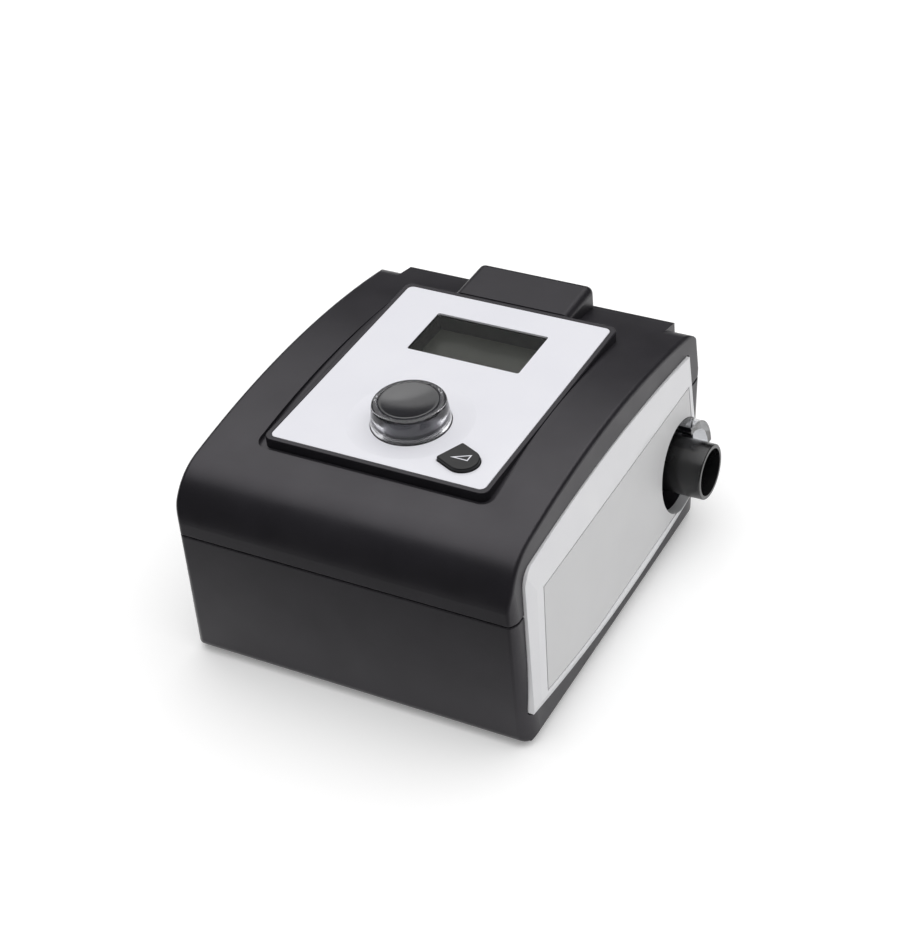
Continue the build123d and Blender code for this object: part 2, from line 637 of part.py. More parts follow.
# ---- casing pieces ----
def parting_rim(half, level):
    """Outer edges of one half of the casing in the plane where the halves part."""
    width = side_x(level) - EDGE_BAND
    rim = []
    for line in half.edges():
        ends = [line.position_at(step).Z for step in (0, 0.5, 1)]
        middle = line.position_at(0.5)
        flat = max(abs(z - level) for z in ends) < FLATNESS
        if flat and (abs(middle.X) > width or abs(middle.Y) > REAR - EDGE_BAND):
            rim.append(line)
    return rim


def make_bottom_case(shell):
    """Lower tray, with screw bosses, board bosses, blower posts and recesses for the feet."""
    edge = PARTING_HEIGHT - PARTING_GAP / 2
    below = box((-BIG, BIG), (-BIG, BIG), (-BIG, edge))
    case = shell & below
    inside = casing_form(WALL / 2) & below
    floor = FOOT_HEIGHT + WALL / 2
    for column_ in boss_columns(floor, edge, BOSS_RADIUS):
        case += column_ & inside
    for x, y in main_board_corners():
        case += post(x, y, floor, MAIN_BOARD_HEIGHT, MAIN_BOSS_RADIUS)
        case -= post(x, y, MAIN_BOARD_HEIGHT - BOARD_SCREW_DEPTH, SIDE_TOP, BOARD_SCREW_RADIUS)
    for x, y in lug_places():
        case += post(x, y, floor, VOLUTE_LOW - MOUNT_HEIGHT, MOUNT_RADIUS + MOUNT_SEAT)
    tongue = lip(WALL / 2 + LIP_CLEARANCE, edge - 1, edge + LIP_HEIGHT)
    tongue -= panel_opening(PANEL_GAP, REAR, REAR - 2 * WALL)
    case += tongue - cover_prism(COVER_GAP + WALL)
    for column_ in boss_columns(0, edge + 1, SCREW_RADIUS + SCREW_FIT):
        case -= column_
    head_high = FOOT_HEIGHT + SCREW_HEAD_SINK + SCREW_HEAD_HEIGHT
    for column_ in boss_columns(0, head_high, SCREW_HEAD_RADIUS + SCREW_HEAD_FIT):
        case -= column_
    for x, y in FOOT_PLACES.values():
        case -= post(x, y, 0, FOOT_HEIGHT + FOOT_RECESS, FOOT_RADIUS + FOOT_FIT)
    return fillet(parting_rim(case, edge), PARTING_FILLET)


def make_top_cover(shell):
    """Upper shell: brow, rails, moat and plinth, with the openings of the deck."""
    edge = PARTING_HEIGHT + PARTING_GAP / 2
    above = box((-BIG, BIG), (-BIG, BIG), (edge, BIG))
    cover = shell & above
    cover -= lip(WALL / 2, edge - 1, PARTING_HEIGHT - PARTING_GAP / 2 + LIP_HEIGHT)
    inside = casing_form(WALL / 2) & above
    for column_ in boss_columns(edge, SIDE_TOP, BOSS_RADIUS):
        cover += column_ & inside
    for column_ in boss_columns(edge - 1, SCREW_TOP + FOOT_HEIGHT, SCREW_RADIUS):
        cover -= column_
    for x, y in ui_board_corners():
        cover += post(x, y, UI_BOARD_TOP, SLAB_UNDERSIDE + DECK_SLAB / 2, UI_BOSS_RADIUS)
        cover -= post(x, y, UI_BOARD_TOP - 1, UI_BOARD_TOP + BOARD_SCREW_DEPTH, BOARD_SCREW_RADIUS)
    cover -= slab(DECK_HALF + OVERLAY_GAP, DECK_FRONT - OVERLAY_GAP, DECK_REAR + OVERLAY_GAP,
                  DECK_FLOOR, SIDE_TOP, DECK_CORNER + OVERLAY_GAP)
    cover -= dish(DECK_FLOOR)
    pit = WHEEL_BASE - WHEEL_TRAVEL - WHEEL_FLOOR_GAP
    cover -= post(0, WHEEL_Y, pit, SIDE_TOP, WHEEL_BASE_RADIUS + WHEEL_CLEARANCE)
    cover -= post(0, WHEEL_Y, UI_BOARD_TOP, SIDE_TOP, BUSH_RADIUS + BUSH_CLEARANCE)
    cover -= window_block(SHROUD_WALL + WINDOW_FIT, UI_BOARD_TOP, SIDE_TOP)
    cover -= ramp_block(RAMP_CLEARANCE, UI_BOARD_TOP, SIDE_TOP)
    cover -= ramp_block(RAMP_FLANGE + RAMP_CLEARANCE, UI_BOARD_TOP, SLAB_UNDERSIDE)
    return fillet(parting_rim(cover, edge), PARTING_FILLET)


def make_rear_panel():
    """Flat panel let into the rear, with its four openings."""
    panel = panel_opening(0, REAR, REAR - PANEL_THICKNESS)
    panel = fillet(panel.edges().filter_by(Axis.Y), PANEL_CORNER)
    x, z = FILTER_CENTRE
    panel -= filter_block(0, REAR - 2 * PANEL_THICKNESS, REAR + 1)
    reach = FILTER_WIDTH / 2 + HINGE_REACH + HINGE_FIT
    panel -= bar_x(x - reach, x + reach, REAR - CAP_THICKNESS / 2, cap_hinge_height(),
                   HINGE_RADIUS + HINGE_FIT)
    panel -= blank_block(0, REAR - 2 * PANEL_THICKNESS, REAR + 1)
    panel -= card_block(CARD_CLEARANCE, REAR - 2 * PANEL_THICKNESS, REAR + 1)
    return panel - bar_y(REAR - 2 * PANEL_THICKNESS, REAR + 1, *JACK_CENTRE, JACK_RADIUS)


# ---- deck pieces ----
def dish(level):
    """The shallow round dip in the deck that the control wheel stands in, as a cutter."""
    floor, over, rise = -DISH_DEPTH, DISH_RADIUS + DISH_RUNOUT[0], DISH_RUNOUT[1]
    side = Spline((DISH_FLOOR_RADIUS, floor), (DISH_RADIUS, 0), tangents=((1, 0), DISH_RUNOUT))
    profile = make_face([
        Line((0, floor), (DISH_FLOOR_RADIUS, floor)),
        side,
        Line((DISH_RADIUS, 0), (over, rise)),
        Line((over, rise), (0, rise)),
        Line((0, rise), (0, floor)),
    ])
    return Pos(0, WHEEL_Y, level) * revolve(Plane.XZ * profile, Axis.Z)


def window_block(grow, low, high):
    """A block the shape of the display window, larger by grow."""
    return slab(WINDOW_HALF + grow, WINDOW_FRONT - grow, WINDOW_FRONT + WINDOW_LENGTH + grow, low, high,
                WINDOW_CORNER + max(grow, 0))


def ramp_block(grow, low, high):
    """The ramp button's outline, larger by grow, carried upright."""
    end = CenterArc(RAMP_CENTRE, RAMP_END_RADIUS, 0, 360)
    corners = [(RAMP_CENTRE[0] + x, RAMP_CENTRE[1] + y) for x, y in (RAMP_REACH_REAR, RAMP_REACH_LEFT)]
    outline = make_hull([end, Line(*corners)])
    outline = fillet(outline.vertices().sort_by(Axis.X)[:2], RAMP_CORNER)
    if grow:
        outline = offset(outline, grow)
    return Pos(0, 0, low) * extrude(outline, high - low)


def make_overlay():
    """White overlay plate, dished round the wheel."""
    plate = slab(DECK_HALF, DECK_FRONT, DECK_REAR, DECK_FLOOR, DECK_HEIGHT, DECK_CORNER)
    plate = fillet(plate.faces().sort_by(Axis.Z)[-1].edges(), OVERLAY_EDGE)
    plate += dish(DECK_FLOOR)
    plate -= dish(DECK_HEIGHT)
    plate -= window_block(WINDOW_FIT, DECK_FLOOR - 1, SIDE_TOP)
    plate -= post(0, WHEEL_Y, DECK_FLOOR - 1, SIDE_TOP, WHEEL_BASE_RADIUS + WHEEL_CLEARANCE)
    return plate - ramp_block(RAMP_CLEARANCE, DECK_FLOOR - 1, SIDE_TOP)


def make_window():
    """Clear window, flush with the overlay."""
    return window_block(0, DECK_FLOOR, DECK_HEIGHT)


def make_shroud():
    """Dark walls between the window and the display."""
    walls = window_block(SHROUD_WALL, DISPLAY_FACE, DECK_FLOOR)
    return walls - window_block(-SHROUD_LEDGE, DISPLAY_FACE - 1, DECK_FLOOR + 1)


def make_display():
    """Display module on the board under the deck."""
    return window_block(DISPLAY_MARGIN, UI_BOARD_TOP, DISPLAY_FACE)


def ui_board_corners():
    """Where the upper board is screwed to the top cover."""
    inset = UI_SCREW_INSET
    return [(x, y) for x in (-UI_BOARD_HALF + inset, UI_BOARD_HALF - inset)
            for y in (UI_BOARD_FRONT + inset, UI_BOARD_REAR - inset)]


def make_ui_board():
    """Board that carries the display, the encoder and the ramp switch."""
    board = box((-UI_BOARD_HALF, UI_BOARD_HALF), (UI_BOARD_FRONT, UI_BOARD_REAR),
                (UI_BOARD_TOP - BOARD_THICKNESS, UI_BOARD_TOP))
    for x, y in ui_board_corners():
        board -= post(x, y, 0, SIDE_TOP, BOARD_SCREW_RADIUS + BOARD_HOLE_FIT)
    return board


def make_ui_screws():
    """Four screws that hold the upper board."""
    low = UI_BOARD_TOP - BOARD_THICKNESS
    screw = post(0, 0, UI_SCREW_LOW, low, BOARD_SCREW_HEAD)
    screw += post(0, 0, low, UI_BOARD_TOP + BOARD_SCREW_DEPTH, BOARD_SCREW_RADIUS)
    return Compound([Pos(x, y, 0) * screw for x, y in ui_board_corners()])


# ---- control wheel and its encoder ----
def make_wheel_ring():
    """Clear outer ring of the wheel, tapered towards its rim."""
    top = DECK_HEIGHT + WHEEL_RISE
    ring = Cone(WHEEL_BASE_RADIUS, WHEEL_TOP_RADIUS, top - WHEEL_BASE)
    ring = fillet(ring.edges().group_by(Axis.Z)[-1], WHEEL_EDGE)
    ring = fillet(ring.edges().group_by(Axis.Z)[0], WHEEL_FOOT_EDGE)
    ring = Pos(0, WHEEL_Y, (WHEEL_BASE + top) / 2) * ring
    return ring - post(0, WHEEL_Y, WHEEL_BASE - 1, top + 1, CORE_RADIUS)


def make_wheel_core():
    """Dark core of the wheel, with a low domed top and a socket for the shaft."""
    top = DECK_HEIGHT + WHEEL_RISE
    sphere = (CORE_RADIUS ** 2 + CORE_DOME ** 2) / (2 * CORE_DOME)
    core = post(0, WHEEL_Y, WHEEL_BASE, top + CORE_DOME, CORE_RADIUS)
    core &= Pos(0, WHEEL_Y, top + CORE_DOME - sphere - CORE_SINK) * Sphere(sphere)
    return core - post(0, WHEEL_Y, WHEEL_BASE - 1, top - SOCKET_ROOF, SHAFT_RADIUS)


def make_wheel_shaft():
    """Hollow shaft that turns with the wheel."""
    low, top = UI_BOARD_TOP + SHAFT_FOOT, DECK_HEIGHT + WHEEL_RISE - SOCKET_ROOF
    shaft = post(0, WHEEL_Y, low, top, SHAFT_RADIUS)
    return shaft - post(0, WHEEL_Y, low - 1, top - SHAFT_ROOF, SHAFT_RADIUS / 2 + RUNNING_FIT)


def make_wheel_spindle():
    """Pin inside the shaft that goes down with the wheel but doesn't turn."""
    top = DECK_HEIGHT + WHEEL_RISE - SOCKET_ROOF - SHAFT_ROOF
    return post(0, WHEEL_Y, UI_BOARD_TOP + SPINDLE_FOOT, top, SHAFT_RADIUS / 2)


def make_encoder():
    """Rotary encoder body with its bush."""
    base, half = UI_BOARD_TOP, ENCODER_SIDE / 2
    body = box((-half, half), (WHEEL_Y - half, WHEEL_Y + half), (base, SLAB_UNDERSIDE - UNDER_GAP))
    body += post(0, WHEEL_Y, base, WHEEL_BASE - WHEEL_TRAVEL - 2 * WHEEL_FLOOR_GAP, BUSH_RADIUS)
    pit = base + SHAFT_FOOT - WHEEL_TRAVEL - UNDER_GAP
    body -= post(0, WHEEL_Y, pit, SIDE_TOP, SHAFT_RADIUS + RUNNING_FIT)
    return body - post(0, WHEEL_Y, base + ENCODER_FLOOR, SIDE_TOP, SHAFT_RADIUS / 2 + RUNNING_FIT)


# ---- ramp button and its switch ----
def stem_low():
    """Height of the lower end of the ramp button's stem."""
    return UI_BOARD_TOP + STEM_GAP


def make_ramp_button():
    """Ramp button, held in by a flange under the deck."""
    cap = ramp_block(0, SLAB_UNDERSIDE - 1, DECK_HEIGHT + RAMP_RISE)
    cap = fillet(cap.edges().group_by(Axis.Z)[-1], RAMP_EDGE)
    seat = SLAB_UNDERSIDE - UNDER_GAP
    cap += ramp_block(RAMP_FLANGE, seat - RAMP_FLANGE_THICKNESS, seat)
    return cap + post(*RAMP_CENTRE, stem_low(), SLAB_UNDERSIDE - 1, STEM_RADIUS)


def make_ramp_plunger():
    """Plunger of the ramp switch."""
    return post(*RAMP_CENTRE, UI_BOARD_TOP + PLUNGER_FOOT, stem_low(), PLUNGER_RADIUS)


def make_ramp_switch():
    """Body of the ramp switch, on the upper board."""
    x, y = RAMP_CENTRE
    half, top = SWITCH_HALF, stem_low() - RAMP_TRAVEL - SWITCH_GAP
    body = box((x - half, x + half), (y - half, y + half), (UI_BOARD_TOP, top))
    return body - post(x, y, UI_BOARD_TOP + SWITCH_FLOOR, SIDE_TOP, PLUNGER_RADIUS + RUNNING_FIT)


# ---- side cover, outlet and release tab ----
def side_frame():
    """A plane on the leaning right side: x to the rear, y up the side, z outwards."""
    return Plane(origin=(BASE_HALF, 0, 0), x_dir=(0, 1, 0), z_dir=(SIDE_TOP, 0, BASE_HALF - TOP_HALF))


def bevel_prism(points, run):
    """A wedge cutter in the side's frame: its (distance, outwards) points carried at right angles to run."""
    outline = make_face(Polyline(*points, close=True))
    plane = Plane(origin=side_frame().origin, x_dir=run, z_dir=run.cross(side_frame().z_dir))
    return extrude(plane * outline, BIG, both=True)


def label_outline(grow=0.0):
    """Outline of the flat label face, in the YZ plane."""
    low, high = from_front(LABEL_FRONT_LOW), from_front(LABEL_FRONT_HIGH)
    rear = REAR - LABEL_REAR_INSET
    face = make_face(Polyline(low, high, (rear, high[1]), (rear, low[1]), close=True))
    if grow:
        face = offset(face, grow, kind=Kind.INTERSECTION)
    return face & cover_outline(grow - LABEL_EDGE)


def label_prism(grow, low, high):
    """The label face's outline between two distances outside the casing side."""
    prism = Pos(BASE_HALF / 2, 0, 0) * extrude(Plane.YZ * label_outline(grow), BASE_HALF)
    return prism & (column(-high) - column(-low))


def band(run_out, far):
    """Section of a sloping band's cutter: from the label face's border out to the cover's edge, and on."""
    end, level = far * run_out, COVER_PROUD - far * (COVER_PROUD - COVER_RIM_PROUD)
    return [(0, COVER_PROUD), (end, level), (end, BASE_HALF), (0, BASE_HALF)]


def lower_cone():
    """A wide cone that gives the cover's curved lower band its slope."""
    lean = sqrt(1 + ((BASE_HALF - TOP_HALF) / SIDE_TOP) ** 2)
    places = (from_rear(COVER_REAR_LOW), from_rear(COVER_BASE_MIDDLE), from_front(COVER_FRONT_LOW))
    edge = ThreePointArc(*[(y, z * lean) for y, z in places])
    slope = (LABEL_EDGE - BAND_GAP) / (COVER_PROUD - COVER_RIM_PROUD)
    low, high = -2 * COVER_SINK, COVER_PROUD + 1
    wide, narrow = [edge.radius - slope * (level - COVER_RIM_PROUD) for level in (low, high)]
    centre = edge.arc_center
    return side_frame() * Pos(centre.X, centre.Y, (low + high) / 2) * Cone(wide, narrow, high - low)


def make_side_cover():
    """Side cover: flat label face with bands that slope away all round it, and pegs behind."""
    cover = cover_prism() & (column(-COVER_PROUD) - column(COVER_SINK)) & lower_cone()
    crease = LABEL_FRONT_HIGH[1] + BAND_GAP
    up, across = side_frame().y_dir, side_frame().x_dir
    upper = bevel_prism(band(COVER_TOP_MIDDLE[1] - crease, 2), up)
    cover -= Pos(up * crease) * upper
    rear_run = LABEL_REAR_INSET - BAND_GAP - COVER_REAR_HIGH[0]
    cover -= Pos(0, REAR - LABEL_REAR_INSET + BAND_GAP, 0) * bevel_prism(band(rear_run, 2), across)
    lean_y, lean_z = LABEL_FRONT_HIGH[0] - LABEL_FRONT_LOW[0], LABEL_FRONT_HIGH[1] - LABEL_FRONT_LOW[1]
    front_run = LABEL_FRONT_HIGH[0] - COVER_FRONT_HIGH[0] - BAND_GAP
    front = Pos(0, -BAND_GAP, 0) * bevel_prism(band(-front_run, 2), across)
    cover -= Pos(0, *from_front(LABEL_FRONT_LOW)) * Rot(-degrees(atan2(lean_y, lean_z)), 0, 0) * front
    cover -= label_prism(LABEL_GROOVE, COVER_PROUD - LABEL_THICKNESS, COVER_PROUD + 1)
    cover -= port_bar(0, BIG / 2, WELL_RADIUS)
    for y, z in PEG_PLACES:
        back = side_x(z) - COVER_SINK
        cover += bar_x(back - PEG_LENGTH, back + 0.5, y, z, PEG_RADIUS)
    return cover


def make_side_label():
    """Plain label plate let into the side cover."""
    return label_prism(0, COVER_PROUD - LABEL_THICKNESS, COVER_PROUD) - port_bar(0, BIG / 2, WELL_RADIUS)


def make_outlet_port():
    """Outlet tube with the flange that holds it behind the well's floor."""
    seat = WELL_FLOOR - WALL - SEAL_THICKNESS
    port = port_bar(PORT_INNER_END, PORT_MOUTH, PORT_RADIUS)
    port = fillet(port.edges().group_by(Axis.X)[-1], PORT_EDGE)
    port += port_bar(seat - FLANGE_THICKNESS, seat, FLANGE_RADIUS)
    port += port_bar(seat, WELL_FLOOR + COLLAR_HEIGHT, COLLAR_RADIUS)
    return port - port_bar(PORT_INNER_END - 1, PORT_MOUTH + 1, PORT_BORE)


def make_port_seal():
    """Rubber ring between the outlet's flange and the casing."""
    wall = WELL_FLOOR - WALL
    return port_bar(wall - SEAL_THICKNESS, wall, FLANGE_RADIUS) - port_bar(0, BIG, COLLAR_RADIUS)


def port_sector(start, end, inner, outer, first, sweep):
    """A piece of a ring about the outlet's axis; angles run from the rear upwards."""
    ring = port_bar(start, end, outer) - port_bar(start - 1, end + 1, inner)
    points = [(0, 0)]
    for part, reach in ((0, 2), (0.5, 4), (1, 2)):
        angle = radians(first + part * sweep)
        points.append((reach * outer * cos(angle), reach * outer * sin(angle)))
    wedge = extrude(Plane.YZ * make_face(Polyline(*points, close=True)), BIG, both=True)
    return ring & Pos(0, PORT_Y, PORT_Z) * wedge


def tab_leg(grow, start, end, outer):
    """The tab's leg where it goes through the well's floor, larger by grow."""
    return port_sector(start, end, TAB_LEG_INNER - grow, outer + grow, TAB_LEG_START - 8 * grow,
                       TAB_LEG_SWEEP + 16 * grow)


def make_release_tab():
    """Clear tab in the gap above and behind the outlet, hooked behind the well's floor."""
    start = WELL_FLOOR + TAB_TRAVEL + TAB_STOP_GAP
    back = WELL_FLOOR - WALL - TAB_HOOK_GAP
    tab = port_sector(start, start + TAB_LENGTH, TAB_INNER, TAB_OUTER, TAB_START, TAB_SWEEP)
    tab += tab_leg(0, back - TAB_HOOK, start + 1, TAB_OUTER)
    return tab + tab_leg(0, back - TAB_HOOK, back, TAB_OUTER + TAB_HOOK)


# ---- blower ----
def lug_places():
    """Where the blower's lugs stand on their rubber mounts."""
    return [(BLOWER_X + LUG_REACH * cos(radians(angle)), BLOWER_Y + LUG_REACH * sin(radians(angle)))
            for angle in LUG_ANGLES]


def volute_form():
    """The whole blower housing, hollow, with its outlet duct."""
    housing = post(BLOWER_X, BLOWER_Y, VOLUTE_LOW, VOLUTE_HIGH, BLOWER_RADIUS)
    housing += port_bar(BLOWER_X, DUCT_END, DUCT_RADIUS)
    housing -= post(BLOWER_X, BLOWER_Y, VOLUTE_LOW + VOLUTE_WALL, VOLUTE_HIGH - VOLUTE_WALL,
                    BLOWER_RADIUS - VOLUTE_WALL)
    housing -= port_bar(BLOWER_X, DUCT_END + 1, DUCT_BORE)
    housing -= post(BLOWER_X, BLOWER_Y, VOLUTE_HIGH - 2 * VOLUTE_WALL, VOLUTE_HIGH + 1, EYE_RADIUS)
    return housing - post(SENSOR_PLACE[0], PORT_Y, PORT_Z, BIG, BARB_BORE)


def make_volute_lower():
    """Lower half of the blower housing, with its lugs and the upper bearing's seat."""
    half = volute_form() & box((-BIG, BIG), (-BIG, BIG), (-BIG, PORT_Z))
    hole = post(BLOWER_X, BLOWER_Y, VOLUTE_LOW - 1, VOLUTE_LOW + 2 * VOLUTE_WALL,
                ROTOR_SHAFT_RADIUS + SHAFT_HOLE_FIT)
    top = VOLUTE_LOW + LUG_THICKNESS
    for angle, (x, y) in zip(LUG_ANGLES, lug_places()):
        arm = Pos((LUG_REACH + BLOWER_RADIUS) / 2, 0, (VOLUTE_LOW + top) / 2) * Box(
            LUG_REACH - BLOWER_RADIUS + VOLUTE_WALL, 2 * LUG_RADIUS, LUG_THICKNESS)
        half += Pos(BLOWER_X, BLOWER_Y, 0) * Rot(0, 0, angle) * arm
        half += post(x, y, VOLUTE_LOW, top, LUG_RADIUS)
    half += post(BLOWER_X, BLOWER_Y, VOLUTE_LOW - BEARING_HEIGHT, VOLUTE_LOW, BEARING_RADIUS + MOTOR_WALL)
    half -= post(BLOWER_X, BLOWER_Y, VOLUTE_LOW - 2 * BEARING_HEIGHT, VOLUTE_LOW, BEARING_RADIUS)
    return half - hole


def make_volute_upper():
    """Upper half of the blower housing, with the inlet eye and the pressure tap."""
    half = volute_form() & box((-BIG, BIG), (-BIG, BIG), (PORT_Z, BIG))
    root = PORT_Z + (DUCT_BORE + DUCT_RADIUS) / 2
    barb = post(SENSOR_PLACE[0], PORT_Y, root, PORT_Z + DUCT_RADIUS + BARB_LENGTH, BARB_RADIUS)
    barb -= post(SENSOR_PLACE[0], PORT_Y, 0, BIG, BARB_BORE)
    return half + barb


def make_coupling():
    """Soft sleeve that joins the blower's duct to the outlet."""
    sleeve = port_bar(DUCT_END - SLEEVE_OVERLAP, PORT_INNER_END + SLEEVE_OVERLAP, PORT_RADIUS + SLEEVE_WALL)
    return sleeve - port_bar(0, BIG, PORT_RADIUS)


def make_motor_can():
    """Cup round the motor, with the lower bearing's seat."""
    can = post(BLOWER_X, BLOWER_Y, MOTOR_LOW, VOLUTE_LOW, MOTOR_RADIUS)
    can -= post(BLOWER_X, BLOWER_Y, MOTOR_LOW + MOTOR_WALL, VOLUTE_LOW + 1, MOTOR_RADIUS - MOTOR_WALL)
    seat = MOTOR_LOW + MOTOR_WALL
    can += post(BLOWER_X, BLOWER_Y, MOTOR_LOW, seat + BEARING_HEIGHT, BEARING_RADIUS + MOTOR_WALL)
    return can - post(BLOWER_X, BLOWER_Y, seat, BIG, BEARING_RADIUS)


def make_bearing(low):
    """One shaft bearing."""
    bearing = post(BLOWER_X, BLOWER_Y, low, low + BEARING_HEIGHT, BEARING_RADIUS)
    return bearing - post(BLOWER_X, BLOWER_Y, low - 1, BIG, ROTOR_SHAFT_RADIUS + RUNNING_FIT)


def make_stator():
    """Stator, held in the can."""
    low, high = MOTOR_LOW + MOTOR_WALL, VOLUTE_LOW - BEARING_HEIGHT - BEARING_GAP
    stator = post(BLOWER_X, BLOWER_Y, low, high, MOTOR_RADIUS - MOTOR_WALL)
    return stator - post(BLOWER_X, BLOWER_Y, low - 1, high + 1, MAGNET_RADIUS + STATOR_GAP)


def make_rotor_shaft():
    """Shaft of the motor and the impeller."""
    low = MOTOR_LOW + MOTOR_WALL + SHAFT_GAP
    return post(BLOWER_X, BLOWER_Y, low, IMPELLER_LOW + IMPELLER_HEIGHT, ROTOR_SHAFT_RADIUS)


def make_rotor_magnet():
    """Magnet on the shaft, between the bearings."""
    low = MOTOR_LOW + MOTOR_WALL + BEARING_HEIGHT + BEARING_GAP
    high = VOLUTE_LOW - BEARING_HEIGHT - BEARING_GAP
    magnet = post(BLOWER_X, BLOWER_Y, low, high, MAGNET_RADIUS)
    return magnet - post(BLOWER_X, BLOWER_Y, 0, BIG, ROTOR_SHAFT_RADIUS)


def make_impeller():
    """Impeller with swept blades on a backplate."""
    wheel = post(0, 0, IMPELLER_LOW, IMPELLER_LOW + IMPELLER_PLATE, IMPELLER_RADIUS)
    wheel += post(0, 0, IMPELLER_LOW, IMPELLER_LOW + IMPELLER_HEIGHT, IMPELLER_HUB)
    inner, outer = BLADE_INNER, IMPELLER_RADIUS - BLADE_RIM_GAP
    for index in range(IMPELLER_BLADES):
        turn = 2 * pi * index / IMPELLER_BLADES
        points = [(radius * cos(turn + sweep), radius * sin(turn + sweep))
                  for radius, sweep in zip((inner, (inner + outer) / 2, outer), (0, *BLADE_SWEEP))]
        blade = Line(points[0], points[1]), Line(points[1], points[2])
        for line in blade:
            across = (line @ 1 - line @ 0)
            length = across.length + BLADE_THICKNESS
            centre = (line @ 0 + line @ 1) / 2
            angle = across.get_signed_angle(Vector(1, 0, 0), Vector(0, 0, -1))
            wheel += Pos(centre.X, centre.Y, IMPELLER_LOW + IMPELLER_HEIGHT / 2) * Rot(0, 0, angle) * Box(
                length, BLADE_THICKNESS, IMPELLER_HEIGHT)
    wheel &= post(0, 0, IMPELLER_LOW, IMPELLER_LOW + IMPELLER_HEIGHT, IMPELLER_RADIUS)
    wheel -= post(0, 0, 0, BIG, ROTOR_SHAFT_RADIUS)
    return Pos(BLOWER_X, BLOWER_Y, 0) * wheel


def make_mounts():
    """Rubber mounts under the blower's lugs."""
    low = VOLUTE_LOW - MOUNT_HEIGHT
    return Compound([post(x, y, low, VOLUTE_LOW, MOUNT_RADIUS) for x, y in lug_places()])


# ---- intake ----
def muffler_block(inset, low, high):
    """A block the shape of the intake box, smaller by inset."""
    return box((MUFFLER_LEFT + inset, MUFFLER_RIGHT - inset),
               (MUFFLER_FRONT + inset, MUFFLER_REAR - inset), (low, high))


def make_muffler():
    """Intake box on top of the blower."""
    tray = muffler_block(0, VOLUTE_HIGH, MUFFLER_HIGH)
    tray -= muffler_block(MUFFLER_WALL, VOLUTE_HIGH + MUFFLER_WALL, MUFFLER_HIGH + 1)
    tray -= post(BLOWER_X, BLOWER_Y, VOLUTE_HIGH - 1, VOLUTE_HIGH + 2 * MUFFLER_WALL, EYE_RADIUS)
    return tray - filter_block(-1, MUFFLER_REAR - 2 * MUFFLER_WALL, MUFFLER_REAR + 1)


def make_muffler_lid():
    """Lid of the intake box."""
    return muffler_block(0, MUFFLER_HIGH, MUFFLER_HIGH + MUFFLER_WALL)


def make_muffler_foam():
    """Sound-absorbing foam round the walls of the intake box."""
    foam = muffler_block(MUFFLER_WALL, VOLUTE_HIGH + MUFFLER_WALL, MUFFLER_HIGH)
    foam -= muffler_block(MUFFLER_WALL + FOAM_THICKNESS, 0, BIG)
    return foam - filter_block(-1, MUFFLER_REAR - 2 * MUFFLER_WALL - 2 * FOAM_THICKNESS, MUFFLER_REAR + 1)


# ---- rear panel pieces ----
def filter_block(grow, front, rear):
    """A block the shape of the filter's opening, larger by grow."""
    x, z = FILTER_CENTRE
    return box((x - FILTER_WIDTH / 2 - grow, x + FILTER_WIDTH / 2 + grow), (front, rear),
               (z - FILTER_HEIGHT / 2 - grow, z + FILTER_HEIGHT / 2 + grow))


def blank_block(grow, front, rear):
    """A block the shape of the accessory opening, larger by grow."""
    x, z = BLANK_CENTRE
    return box((x - BLANK_WIDTH / 2 - grow, x + BLANK_WIDTH / 2 + grow), (front, rear),
               (z - BLANK_HEIGHT / 2 - grow, z + BLANK_HEIGHT / 2 + grow))


def card_block(grow, front, rear):
    """A block the shape of the memory card, larger by grow."""
    x, z = CARD_CENTRE
    return box((x - CARD_WIDTH / 2 - grow, x + CARD_WIDTH / 2 + grow), (front, rear),
               (z - CARD_THICKNESS / 2 - grow, z + CARD_THICKNESS / 2 + grow))


def cap_hinge_height():
    """Height of the filter cap's hinge."""
    return FILTER_CENTRE[1] - FILTER_HEIGHT / 2 + CAP_GAP + CAP_THICKNESS / 2


def make_filter_box():
    """Box behind the filter opening that holds both filters."""
    rear = REAR - PANEL_THICKNESS
    front = rear - FILTER_DEPTH
    holder = filter_block(FILTER_WALL, front, rear) - filter_block(0, front + FILTER_WALL, rear + 1)
    return holder - filter_block(-FILTER_LEDGE, front - 1, rear)


def make_fine_filter():
    """White fine filter at the inner end of the box."""
    front = REAR - PANEL_THICKNESS - FILTER_DEPTH + FILTER_WALL
    return filter_block(-FILTER_SQUEEZE, front, front + FINE_FILTER_THICKNESS)


def make_foam_filter():
    """Grey foam filter in front of the fine one."""
    front = REAR - PANEL_THICKNESS - FILTER_DEPTH + FILTER_WALL + FINE_FILTER_THICKNESS
    return filter_block(-FILTER_SQUEEZE, front, front + FOAM_FILTER_THICKNESS)


def make_filter_cap():
    """Slotted cap over the filters, hinged along its lower edge."""
    x, z = FILTER_CENTRE
    width = FILTER_WIDTH - 2 * CAP_GAP
    low, high = cap_hinge_height(), z + FILTER_HEIGHT / 2 - CAP_GAP
    middle = REAR - CAP_THICKNESS / 2
    cap = box((x - width / 2, x + width / 2), (REAR - CAP_THICKNESS, REAR), (low, high))
    cap += bar_x(x - width / 2, x + width / 2, middle, low, CAP_THICKNESS / 2)
    pitch = (high - low - CAP_HEAD) / CAP_SLOTS
    for index in range(CAP_SLOTS):
        slot = low + CAP_FOOT + pitch * (index + 0.2)
        cut = box((CAP_RIB, width / 2 - CAP_BORDER), (REAR - 2 * CAP_THICKNESS, REAR + 1),
                  (slot, slot + CAP_SLOT_HEIGHT))
        cap -= Pos(x, 0, 0) * cut
        cap -= Pos(x, 0, 0) * mirror(cut, Plane.YZ)
    reach = FILTER_WIDTH / 2 + HINGE_REACH
    return cap + bar_x(x - reach, x + reach, middle, low, HINGE_RADIUS)


